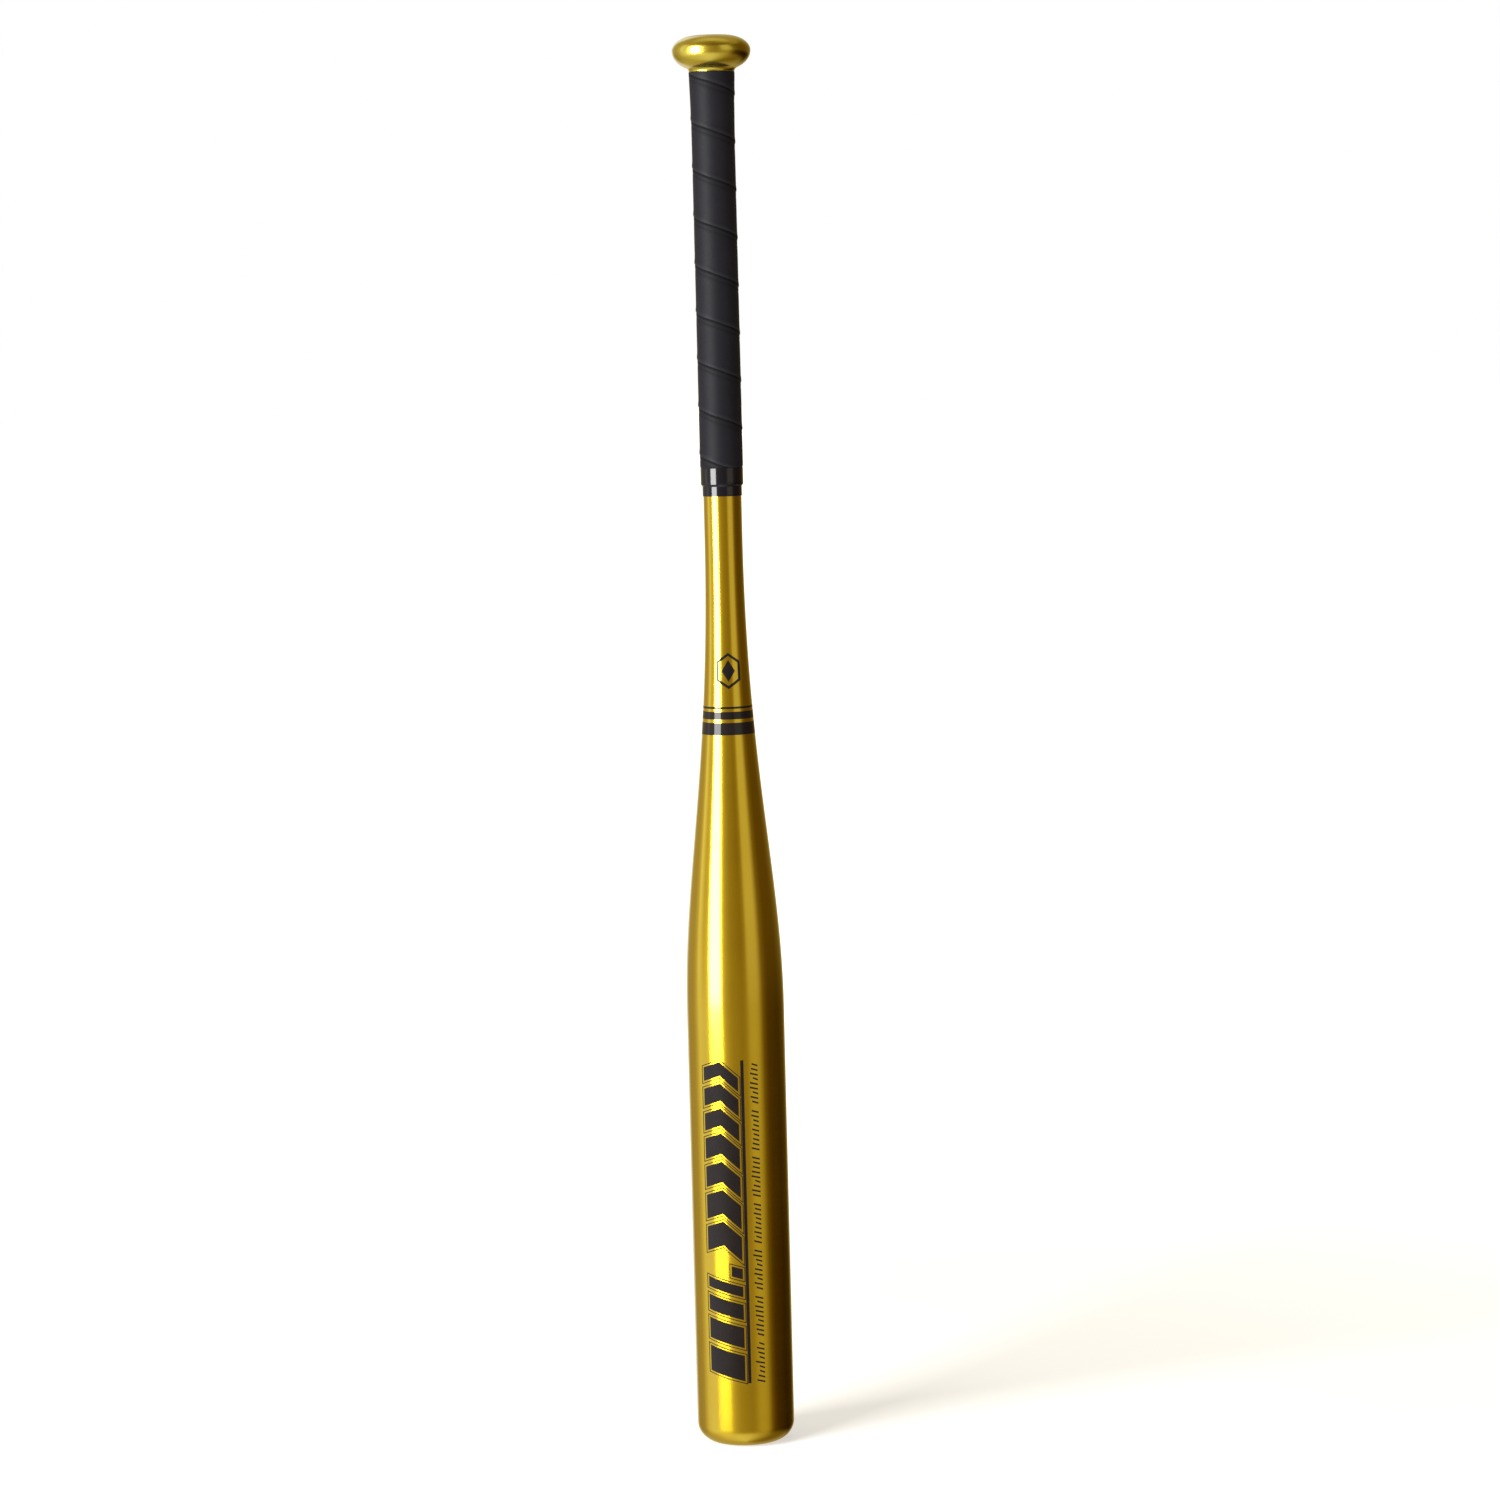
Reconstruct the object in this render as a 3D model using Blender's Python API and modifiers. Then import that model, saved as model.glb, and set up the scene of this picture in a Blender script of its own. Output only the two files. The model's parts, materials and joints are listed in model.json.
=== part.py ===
"""An aluminium baseball bat, standing on its barrel end with the knob up.

World frame: metres, +Z along the bat's axis from the barrel end to the knob, and the origin at the centre of
the barrel end. -Y is the printed side. The bat is one rigid assembly: a spun tube, a welded knob, two plugs,
a damper inside the barrel, and a grip wound from one strip and held down by tape.
"""

import math

import bmesh
import bpy

BAT_LENGTH = 0.8128  # 32 in
SEGMENTS = 40  # round the axis
SHARP_ANGLE = 35  # degrees between two faces that meet in a crisp edge
MERGE_DISTANCE = 0.00001  # between points of a turned piece that are one point

# Tube
BARREL_RADIUS = 0.0282
HANDLE_RADIUS = 0.01095
WALL = 0.0023
BARREL_TOP = 0.2543  # the barrel is straight up to here
HANDLE_BOTTOM = 0.5279  # the handle is straight from here
BARREL_SHOULDER = 0.0806  # how far the barrel's line reaches into the taper
HANDLE_SHOULDER = 0.1364  # how far the handle's line reaches into the taper
FLARE_START = 0.735  # the handle swells from here to the knob
FLARE = 0.0009

# Barrel end
END_CORNER = 0.011  # outside radius of the spun corner
END_THICKNESS = 0.004
FOOT_INNER = 0.014  # the flat foot ring lies between this radius and the corner
DISH_DEPTH = 0.0014
DISH_RADIUS = 0.0115
END_HOLE = 0.009

# Knob
KNOB_RADIUS = 0.0224
RIM_HEIGHT = 0.8041  # where the knob is widest
CROWN_FLAT = 0.008  # radius of the flat on top
RIM_DROP = 0.0107  # depth of the rounding below the rim
RIM_TURN = 59.3  # degrees of the lower rounding before the neck's hollow begins
NECK_RADIUS = 0.013
NECK_BOTTOM = 0.7923
NECK_HOLLOW = 0.00157  # length of the neck's straight end
SPIGOT_LENGTH = 0.008
KNOB_BORE = 0.0042
PLUG_SEAT = 0.0065
PLUG_SEAT_DEPTH = 0.0016
WELD_LEG = 0.0019

# Plugs and damper
PLUG_HEAD = 0.0013
PLUG_DOME = ((0.7, 0.9), (1.0, 0.6))  # points of the dome, as shares of the head's radius and height
PLUG_STEM_LENGTH = 0.014
END_PLUG_RADIUS = 0.0109
END_PLUG_HEAD = 0.0007
END_PLUG_BARB = 0.003
DAMPER_BOTTOM = 0.0135
DAMPER_LENGTH = 0.040

# Grip
STRIP_THICKNESS = 0.0009
STRIP_PITCH = 0.0271  # how far the strip climbs in one turn
STRIP_LAP = 0.004  # width of the skived edge under the next turn
STRIP_EDGE = 0.00015  # thickness left at a skived edge
STRIP_STEPS = 28  # straight pieces in one turn
STRIP_FACET = 0.009  # widest flat facet across the strip, so that it follows the flare
SEAM_AT_FRONT = 0.7587  # where one seam crosses the front
TRIM_MERGE_DISTANCE = 0.00003  # between points that the trimmed ends of the strip leave side by side
BACKING_THICKNESS = 0.00015
BACKING_TOP = 0.788
GRIP_END = 0.5582
TAPE_TOP = 0.5673
TAPE_STEP = 0.5576
TAPE_SLOPE = 0.0009  # height over which the tape comes down on to the metal
TAPE_BOTTOM = 0.5512
TAPE_THICKNESS = 0.0002
TAPE_UPPER_RADIUS = 0.0122

# Clearances
GAP = 0.0003  # between solid pieces that touch
LAYER_GAP = 0.00015  # between the layers wound on the handle

GOLD = (0.55, 0.38, 0.05)
BRIGHT_METAL = (0.80, 0.80, 0.80)
CHARCOAL = (0.030, 0.029, 0.032)
GLOSS_BLACK = (0.010, 0.010, 0.012)
SOFT_BLACK = (0.020, 0.020, 0.020)
FOAM_GREY = (0.35, 0.35, 0.36)
CLOTH_WHITE = (0.75, 0.74, 0.70)


# Helpers


def clear_scene():
    """Empty the scene that the script runs in."""
    for stale in list(bpy.data.objects):
        bpy.data.objects.remove(stale, do_unlink=True)


def new_collection(name):
    """Make a collection in the scene."""
    made = bpy.data.collections.new(name)
    bpy.context.scene.collection.children.link(made)
    return made


def new_material(name, colour, roughness, metallic):
    """Make a Principled material of one colour."""
    made = bpy.data.materials.new(name)
    made.use_nodes = True
    shader = made.node_tree.nodes["Principled BSDF"]
    shader.inputs["Base Color"].default_value = (*colour, 1.0)
    shader.inputs["Roughness"].default_value = roughness
    shader.inputs["Metallic"].default_value = metallic
    return made


def spaced(count):
    """Give count + 1 even steps from 0 to 1."""
    return [step / count for step in range(count + 1)]


def ellipse(radius, height, across, along, start, end, count):
    """Give the points of an ellipse's arc about (radius, height), from one angle to another in degrees."""
    angles = [math.radians(start + (end - start) * share) for share in spaced(count)]
    return [(radius + across * math.cos(a), height + along * math.sin(a)) for a in angles]


def bezier(controls, count):
    """Give the points of a Bezier curve through its (radius, height) controls."""
    order = len(controls) - 1
    points = []
    for share in spaced(count):
        weights = [
            math.comb(order, k) * share**k * (1 - share) ** (order - k) for k in range(order + 1)
        ]
        radius = sum(w * control[0] for w, control in zip(weights, controls))
        height = sum(w * control[1] for w, control in zip(weights, controls))
        points.append((radius, height))
    return points


def add_object(name, mesh, material, collection):
    """Put a mesh into the scene as a named piece."""
    piece = bpy.data.objects.new(name, mesh)
    piece.data.materials.append(material)
    collection.objects.link(piece)
    return piece


def turned(name, outline, material, collection, closed, segments=SEGMENTS):
    """Turn an outline of (radius, height) points about Z: down its outer side, and back up inside if closed."""
    edges = [(k, k + 1) for k in range(len(outline) - 1)]
    if closed:
        edges.append((len(outline) - 1, 0))
    mesh = bpy.data.meshes.new(name)
    mesh.from_pydata([(radius, 0.0, height) for radius, height in outline], edges, [])
    piece = add_object(name, mesh, material, collection)
    screw = piece.modifiers.new("turn", "SCREW")
    screw.steps = segments
    screw.render_steps = segments
    screw.use_merge_vertices = True
    screw.merge_threshold = MERGE_DISTANCE
    shape = bpy.data.meshes.new_from_object(piece.evaluated_get(bpy.context.evaluated_depsgraph_get()))
    piece.modifiers.remove(screw)
    piece.data = shape
    bpy.data.meshes.remove(mesh)
    shape.name = name
    shape.shade_smooth()
    shape.set_sharp_from_angle(angle=math.radians(SHARP_ANGLE))
    return piece


# Shapes that several pieces share


def handle_flare(height):
    """Give how far the handle has swelled at a height."""
    return FLARE * max(0.0, (height - FLARE_START) / (NECK_BOTTOM - FLARE_START)) ** 3


def handle_line(radius, top, bottom, count=6):
    """Give a line down the handle that follows its flare and is straight below it."""
    flared = [top + (FLARE_START - top) * share for share in spaced(count)]
    return [(radius + handle_flare(z), z) for z in flared] + [(radius, bottom)]


def taper(offset, count=16):
    """Give the taper's curve from the handle down to the barrel, moved inwards by an offset."""
    handle, barrel = HANDLE_RADIUS - offset, BARREL_RADIUS - offset
    controls = [
        (handle, HANDLE_BOTTOM),
        (handle, HANDLE_BOTTOM - HANDLE_SHOULDER),
        (barrel, BARREL_TOP + BARREL_SHOULDER),
        (barrel, BARREL_TOP),
    ]
    return bezier(controls, count)


# Tube and knob


def make_bat_shell(material, collection):
    """Make the seamless tube, with a bevel for the weld at its top and its bottom spun in to a small hole."""
    tube_end = NECK_BOTTOM - GAP
    bevel_bottom = tube_end - WELD_LEG
    bevel_outer = HANDLE_RADIUS + handle_flare(bevel_bottom)
    bore = HANDLE_RADIUS - WALL
    inner_corner = END_CORNER - WALL
    outside = [(bevel_outer - WELD_LEG, tube_end)]
    outside += handle_line(HANDLE_RADIUS, bevel_bottom, HANDLE_BOTTOM)[:-1]
    outside += taper(0.0)
    outside += ellipse(BARREL_RADIUS - END_CORNER, END_CORNER, END_CORNER, END_CORNER, 0, -90, 7)
    outside += [(FOOT_INNER, 0.0), (DISH_RADIUS, DISH_DEPTH), (END_HOLE, DISH_DEPTH)]
    corner_height = END_THICKNESS + inner_corner
    corner_radius = BARREL_RADIUS - END_CORNER
    inside = [(END_HOLE, END_THICKNESS)]
    inside += ellipse(corner_radius, corner_height, inner_corner, inner_corner, -90, 0, 4)
    inside += reversed(taper(WALL, 10))
    inside += [(bore, tube_end)]
    return turned("bat_shell", outside + inside, material, collection, closed=True)


def make_knob(material, collection):
    """Make the knob: a rounded rim, a hollow neck, a spigot for the tube and a bore with a seat for its plug."""
    across = KNOB_RADIUS - CROWN_FLAT
    crown = ellipse(CROWN_FLAT, RIM_HEIGHT, across, BAT_LENGTH - RIM_HEIGHT, 90, 0, 9)
    under = ellipse(CROWN_FLAT, RIM_HEIGHT, across, RIM_DROP, 0, -RIM_TURN, 7)
    hollow = bezier([under[-1], (NECK_RADIUS, NECK_BOTTOM + NECK_HOLLOW), (NECK_RADIUS, NECK_BOTTOM)], 5)
    spigot = HANDLE_RADIUS - WALL - GAP
    spigot_end = NECK_BOTTOM - SPIGOT_LENGTH
    seat = BAT_LENGTH - PLUG_SEAT_DEPTH
    outline = [(PLUG_SEAT, BAT_LENGTH)] + crown + under[1:] + hollow[1:]
    outline += [(spigot, NECK_BOTTOM), (spigot, spigot_end), (KNOB_BORE, spigot_end)]
    outline += [(KNOB_BORE, seat), (PLUG_SEAT, seat)]
    return turned("knob", outline, material, collection, closed=True)


def make_knob_weld(material, collection):
    """Make the ring of weld that fills the groove between the tube's bevel and the knob's neck."""
    top = NECK_BOTTOM - GAP
    outer = HANDLE_RADIUS + handle_flare(top - WELD_LEG)
    leg = WELD_LEG - GAP * math.sqrt(2)
    outline = [(outer, top), (outer + GAP / 3, top - leg / 3), (outer, top - leg), (outer - leg, top)]
    return turned("knob_weld", outline, material, collection, closed=True)


def make_knob_plug(material, collection):
    """Make the plug that closes the knob's bore: a low domed head in its seat, and a stem."""
    seat = BAT_LENGTH - PLUG_SEAT_DEPTH + GAP
    head, stem = PLUG_SEAT - GAP, KNOB_BORE - GAP
    stem_end = seat - PLUG_STEM_LENGTH
    outline = [(0.0, seat + PLUG_HEAD)]
    outline += [(head * across, seat + PLUG_HEAD * up) for across, up in PLUG_DOME]
    outline += [(head, seat), (stem, seat), (stem, stem_end + GAP), (stem - GAP, stem_end), (0.0, stem_end)]
    return turned("knob_plug", outline, material, collection, closed=False)


# Barrel end


def make_barrel_end_plug(material, collection):
    """Make the rubber plug in the spun end: a thin head in the dish, a neck, and a barb behind the wall."""
    head_bottom = DISH_DEPTH - GAP - END_PLUG_HEAD
    neck = END_HOLE - GAP
    barb_bottom = END_THICKNESS + GAP
    barb_top = barb_bottom + END_PLUG_BARB
    outline = [(0.0, barb_top), (neck, barb_top), (END_PLUG_RADIUS, barb_bottom), (neck, barb_bottom)]
    outline += [(neck, DISH_DEPTH - GAP), (END_PLUG_RADIUS, DISH_DEPTH - GAP)]
    outline += [(END_PLUG_RADIUS - GAP, head_bottom), (0.0, head_bottom)]
    return turned("barrel_end_plug", outline, material, collection, closed=False)


def make_barrel_damper(material, collection):
    """Make the foam disc that is pressed into the barrel behind the end plug."""
    radius = BARREL_RADIUS - WALL - GAP
    top = DAMPER_BOTTOM + DAMPER_LENGTH
    outline = [(0.0, top), (radius, top), (radius, DAMPER_BOTTOM), (0.0, DAMPER_BOTTOM)]
    return turned("barrel_damper", outline, material, collection, closed=False)


# Grip


def make_grip_backing_tape(material, collection):
    """Make the double-sided tape between the handle and the grip strip."""
    inner = HANDLE_RADIUS + LAYER_GAP
    outside = handle_line(inner + BACKING_THICKNESS, BACKING_TOP, GRIP_END)
    inside = reversed(handle_line(inner, BACKING_TOP, GRIP_END))
    return turned("grip_backing_tape", outside + list(inside), material, collection, closed=True)


def strip_section():
    """Give the strip's section as (thickness, distance below its upper edge) points.

    The upper edge is skived on its outer side, and the lower edge on its inner side, so that each turn's lower
    edge lies on the upper edge of the turn below and stands a little proud of it.
    """
    lower_edge = STRIP_PITCH + STRIP_LAP
    lift = STRIP_LAP * (STRIP_EDGE + LAYER_GAP) / (STRIP_THICKNESS - STRIP_EDGE)
    return [
        (0.0, 0.0),
        (0.0, STRIP_PITCH - lift),
        (STRIP_THICKNESS + LAYER_GAP, lower_edge),
        (STRIP_THICKNESS + LAYER_GAP + STRIP_EDGE, lower_edge),
        (STRIP_THICKNESS, lower_edge - 2 * STRIP_LAP),
        (STRIP_THICKNESS, STRIP_LAP),
        (STRIP_EDGE, 0.0),
    ]


def divided(corners, longest):
    """Divide the sides of a closed outline evenly, so that none is longer than a given length."""
    points = []
    for start, end in zip(corners, corners[1:] + corners[:1]):
        pieces = math.ceil(math.dist(start, end) / longest)
        for share in spaced(pieces)[:-1]:
            points.append(tuple(a + (b - a) * share for a, b in zip(start, end)))
    return points


def follow_flare(mesh):
    """Swell a wound strip with the handle that it lies on."""
    for vertex in mesh.vertices:
        x, y, z = vertex.co
        scale = 1 + handle_flare(z) / math.hypot(x, y)
        vertex.co = (x * scale, y * scale, z)


def make_grip_space(top, material, cutters):
    """Make the cutter of the space that the grip may fill: narrow under the finishing tape, and cut square."""
    wide = NECK_RADIUS + STRIP_THICKNESS
    under_tape = TAPE_UPPER_RADIUS - TAPE_THICKNESS - LAYER_GAP
    tape_edge = TAPE_TOP + GAP
    outline = [(0.0, top), (wide, top), (wide, tape_edge), (under_tape, tape_edge)]
    outline += [(under_tape, GRIP_END), (0.0, GRIP_END)]
    space = turned("grip_space", outline, material, cutters, closed=False, segments=STRIP_STEPS)
    space.hide_render = True
    space.display_type = "WIRE"
    return space


def make_grip_wrap(material, collection, cutters):
    """Wind the strip down the handle and trim it square at the knob's neck and under the finishing tape."""
    inner = HANDLE_RADIUS + LAYER_GAP + BACKING_THICKNESS + LAYER_GAP
    grip_top = NECK_BOTTOM - GAP
    width = STRIP_PITCH + STRIP_LAP
    lowest_seam = SEAM_AT_FRONT + width
    turns_above = math.ceil((grip_top + width - lowest_seam) / STRIP_PITCH)
    start = lowest_seam + turns_above * STRIP_PITCH
    turns = math.ceil((start - GRIP_END) / STRIP_PITCH)
    shape = bmesh.new()
    outline = divided(strip_section(), STRIP_FACET)
    corners = [shape.verts.new((0.0, -(inner + t), start - down)) for t, down in outline]
    section = shape.faces.new(corners)
    bmesh.ops.spin(
        shape,
        geom=[section, *section.edges, *section.verts],
        cent=(0.0, 0.0, 0.0),
        axis=(0.0, 0.0, 1.0),
        dvec=(0.0, 0.0, -STRIP_PITCH / STRIP_STEPS),
        angle=turns * math.tau,
        steps=turns * STRIP_STEPS,
    )
    bmesh.ops.recalc_face_normals(shape, faces=shape.faces)
    mesh = bpy.data.meshes.new("grip_wrap")
    shape.to_mesh(mesh)
    shape.free()
    follow_flare(mesh)
    mesh.shade_smooth()
    mesh.set_sharp_from_angle(angle=math.radians(SHARP_ANGLE))
    wrap = add_object("grip_wrap", mesh, material, collection)
    trim = wrap.modifiers.new("trim", "BOOLEAN")
    trim.operation = "INTERSECT"
    trim.object = make_grip_space(grip_top, material, cutters)
    clean = wrap.modifiers.new("clean", "WELD")
    clean.merge_threshold = TRIM_MERGE_DISTANCE
    return wrap


def make_finishing_tape(material, collection):
    """Make the vinyl tape that covers the end of the grip and steps down on to the metal."""
    lower_inner = HANDLE_RADIUS + LAYER_GAP
    lower_outer = lower_inner + TAPE_THICKNESS
    upper_inner = TAPE_UPPER_RADIUS - TAPE_THICKNESS
    outline = [(TAPE_UPPER_RADIUS, TAPE_TOP), (TAPE_UPPER_RADIUS, TAPE_STEP)]
    slope_end = TAPE_STEP - TAPE_SLOPE
    outline += [(lower_outer, slope_end), (lower_outer, TAPE_BOTTOM), (lower_inner, TAPE_BOTTOM)]
    outline += [(lower_inner, slope_end), (upper_inner, TAPE_STEP), (upper_inner, TAPE_TOP)]
    return turned("finishing_tape", outline, material, collection, closed=True)


def build():
    """Build every piece of the bat."""
    clear_scene()
    bat = new_collection("baseball_bat")
    cutters = new_collection("cutters")
    gold = new_material("gold_aluminium", GOLD, 0.22, 1.0)
    bright = new_material("bright_aluminium", BRIGHT_METAL, 0.35, 1.0)
    charcoal = new_material("grip_charcoal", CHARCOAL, 0.65, 0.0)
    gloss = new_material("vinyl_black", GLOSS_BLACK, 0.15, 0.0)
    rubber = new_material("plug_black", SOFT_BLACK, 0.55, 0.0)
    foam = new_material("foam_grey", FOAM_GREY, 0.9, 0.0)
    backing = new_material("backing_white", CLOTH_WHITE, 0.7, 0.0)
    make_bat_shell(gold, bat)
    make_knob(gold, bat)
    make_knob_weld(bright, bat)
    make_knob_plug(rubber, bat)
    make_barrel_end_plug(rubber, bat)
    make_barrel_damper(foam, bat)
    make_grip_backing_tape(backing, bat)
    make_grip_wrap(charcoal, bat, cutters)
    make_finishing_tape(gloss, bat)


build()
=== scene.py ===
"""Studio looks for an aluminium baseball bat with a wound grip.

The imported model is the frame: metres, +Z along the bat from the barrel end to the knob, and -Y on the printed
side. Each sub-assembly is a class that builds its pieces and dresses them, each finish is a small class, and
the studio holds the floor, the soft boxes, the room's light and the camera.
"""

from __future__ import annotations

import json
import logging
import math
from dataclasses import dataclass, field
from enum import Enum

import bmesh
import bpy
from mathutils import Matrix, Vector

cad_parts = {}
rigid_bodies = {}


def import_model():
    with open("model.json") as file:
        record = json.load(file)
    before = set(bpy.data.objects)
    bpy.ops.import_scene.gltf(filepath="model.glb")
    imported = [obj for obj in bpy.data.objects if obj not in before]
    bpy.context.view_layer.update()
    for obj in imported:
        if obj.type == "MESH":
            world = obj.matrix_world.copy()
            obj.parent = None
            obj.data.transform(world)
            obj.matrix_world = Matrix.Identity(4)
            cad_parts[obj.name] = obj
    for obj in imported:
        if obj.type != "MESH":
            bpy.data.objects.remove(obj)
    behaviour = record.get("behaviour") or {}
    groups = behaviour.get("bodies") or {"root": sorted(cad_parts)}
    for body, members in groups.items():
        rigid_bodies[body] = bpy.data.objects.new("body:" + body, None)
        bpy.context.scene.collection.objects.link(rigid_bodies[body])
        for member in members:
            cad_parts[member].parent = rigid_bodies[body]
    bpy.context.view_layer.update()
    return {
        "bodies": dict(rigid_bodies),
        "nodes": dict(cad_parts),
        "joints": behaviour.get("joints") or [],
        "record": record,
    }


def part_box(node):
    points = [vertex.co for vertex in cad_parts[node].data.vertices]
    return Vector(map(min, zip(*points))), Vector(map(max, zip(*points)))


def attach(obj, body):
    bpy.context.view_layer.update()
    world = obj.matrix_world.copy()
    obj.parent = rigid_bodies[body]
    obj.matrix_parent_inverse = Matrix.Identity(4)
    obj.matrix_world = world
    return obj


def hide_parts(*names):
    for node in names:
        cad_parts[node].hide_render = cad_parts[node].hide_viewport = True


log = logging.getLogger("bat")

MM = 0.001
ROOT = "root"
# How near a point lies to a cut to count as on it, and to another point to become one with it, in metres.
CUT_SLACK = 1e-7
WELD_SLACK = 2e-6
# What is added to a quotient before it is rounded down, so that a whole number stays whole.
FLOOR_GUARD = 1e-4
Point = tuple[float, float]
Pair = tuple[float, float]
Scale = tuple[float, float, float]
Colour = tuple[float, float, float]


class Slot(Enum):
    """The record's material slots."""

    GOLD_SHELL = "gold_shell"
    GOLD_KNOB = "gold_knob"
    WELD = "weld_metal"
    PLUG_PLASTIC = "plug_plastic"
    PLUG_RUBBER = "plug_rubber"
    FOAM = "foam"
    BACKING = "backing_tape"
    GRIP = "grip"
    VINYL = "vinyl_tape"
    PRINT = "print_black"


# Node trees


class Signal:
    """A socket that carries a number, with Python's operators on it."""

    def __init__(self, bench: Bench, socket: bpy.types.NodeSocket) -> None:
        """Wrap an output socket of a bench's tree."""
        self.bench = bench
        self.socket = socket

    def _math(self, operation: str, *values: Signal | float) -> Signal:
        """Add a Math node with its inputs in order, and give its result."""
        node = self.bench.node("ShaderNodeMath", {"operation": operation}, dict(enumerate(values)))
        return Signal(self.bench, node.outputs[0])

    def __add__(self, other: Signal | float) -> Signal:
        """Add."""
        return self._math("ADD", self, other)

    def __radd__(self, other: float) -> Signal:
        """Add, from the right."""
        return self._math("ADD", other, self)

    def __sub__(self, other: Signal | float) -> Signal:
        """Subtract."""
        return self._math("SUBTRACT", self, other)

    def __rsub__(self, other: float) -> Signal:
        """Subtract from a number."""
        return self._math("SUBTRACT", other, self)

    def __mul__(self, other: Signal | float) -> Signal:
        """Multiply."""
        return self._math("MULTIPLY", self, other)

    def __rmul__(self, other: float) -> Signal:
        """Multiply, from the right."""
        return self._math("MULTIPLY", other, self)

    def __truediv__(self, other: Signal | float) -> Signal:
        """Divide."""
        return self._math("DIVIDE", self, other)

    def __pow__(self, other: float) -> Signal:
        """Raise to a power."""
        return self._math("POWER", self, other)

    def floor(self) -> Signal:
        """Round down."""
        return self._math("FLOOR", self)

    def sine(self) -> Signal:
        """Give the sine of an angle in radians."""
        return self._math("SINE", self)

    def cosine(self) -> Signal:
        """Give the cosine of an angle in radians."""
        return self._math("COSINE", self)

    def at_least(self, other: Signal | float) -> Signal:
        """Give the larger of two values."""
        return self._math("MAXIMUM", self, other)

    def at_most(self, other: Signal | float) -> Signal:
        """Give the smaller of two values."""
        return self._math("MINIMUM", self, other)

    def angle_from(self, other: Signal) -> Signal:
        """Give the angle whose tangent is this value over another."""
        return self._math("ARCTAN2", self, other)

    def swing(self, amount: float) -> Signal:
        """Turn a noise, which lies about a half, into one that lies about 0."""
        return (self - 0.5) * amount

    def rise(self, low: float, high: float) -> Signal:
        """Rise smoothly from 0 at one value to 1 at another.

        Args:
            low: the value where the result is 0.
            high: the value where the result is 1.

        Returns:
            The smooth step, held between 0 and 1.
        """
        settings = {"interpolation_type": "SMOOTHSTEP", "clamp": True}
        node = self.bench.node("ShaderNodeMapRange", settings, {0: self, 1: low, 2: high, 3: 0.0, 4: 1.0})
        return Signal(self.bench, node.outputs[0])


class Bench:
    """Adds nodes to one tree."""

    def __init__(self, tree: bpy.types.NodeTree) -> None:
        """Work on a tree."""
        self.tree = tree

    def node(self, kind: str, settings: dict | None = None, inputs: dict | None = None) -> bpy.types.Node:
        """Add a node.

        Args:
            kind: the node's type.
            settings: its properties, set before its sockets.
            inputs: values, signals or sockets, by socket number, identifier or name.

        Returns:
            The node.
        """
        node = self.tree.nodes.new(kind)
        for key, value in (settings or {}).items():
            setattr(node, key, value)
        for key, value in (inputs or {}).items():
            self.feed(node, key, value)
        return node

    def feed(self, node: bpy.types.Node, key: int | str, value: object) -> None:
        """Set or link one of a node's inputs.

        Args:
            node: the node.
            key: the input's number, identifier or name.
            value: a constant, a signal or an output socket.
        """
        if isinstance(key, int):
            target = node.inputs[key]
        else:
            target = next((s for s in node.inputs if s.identifier == key), None) or node.inputs[key]
        if isinstance(value, Signal):
            value = value.socket
        if isinstance(value, bpy.types.NodeSocket):
            self.tree.links.new(value, target)
        else:
            target.default_value = value

    def signal(
        self, kind: str, settings: dict | None = None, inputs: dict | None = None, out: int | str = 0
    ) -> Signal:
        """Add a node and wrap one of its outputs, given by its number or name."""
        return Signal(self, self.node(kind, settings, inputs).outputs[out])

    def split(self, vector: Signal | bpy.types.NodeSocket) -> tuple[Signal, Signal, Signal]:
        """Give a vector's three parts."""
        node = self.node("ShaderNodeSeparateXYZ", None, {0: vector})
        return tuple(Signal(self, out) for out in node.outputs)

    def join(self, x: Signal | float, y: Signal | float, z: Signal | float) -> Signal:
        """Make a vector of three parts."""
        return self.signal("ShaderNodeCombineXYZ", None, {0: x, 1: y, 2: z})

    def curve(self, value: Signal, points: tuple[Point, ...], sharp: tuple[int, ...] = ()) -> Signal:
        """Pass a value through a drawn curve.

        Args:
            value: the place along the curve, 0 to 1.
            points: the curve's points.
            sharp: which points have straight handles.

        Returns:
            The curve's height.
        """
        node = self.node("ShaderNodeFloatCurve", None, {1: value})
        drawn = node.mapping.curves[0].points
        while len(drawn) < len(points):
            drawn.new(0.5, 0.5)
        for number, (place, point) in enumerate(zip(points, drawn)):
            point.location = place
            point.handle_type = "VECTOR" if number in sharp else "AUTO_CLAMPED"
        node.mapping.update()
        return Signal(self, node.outputs[0])


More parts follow.
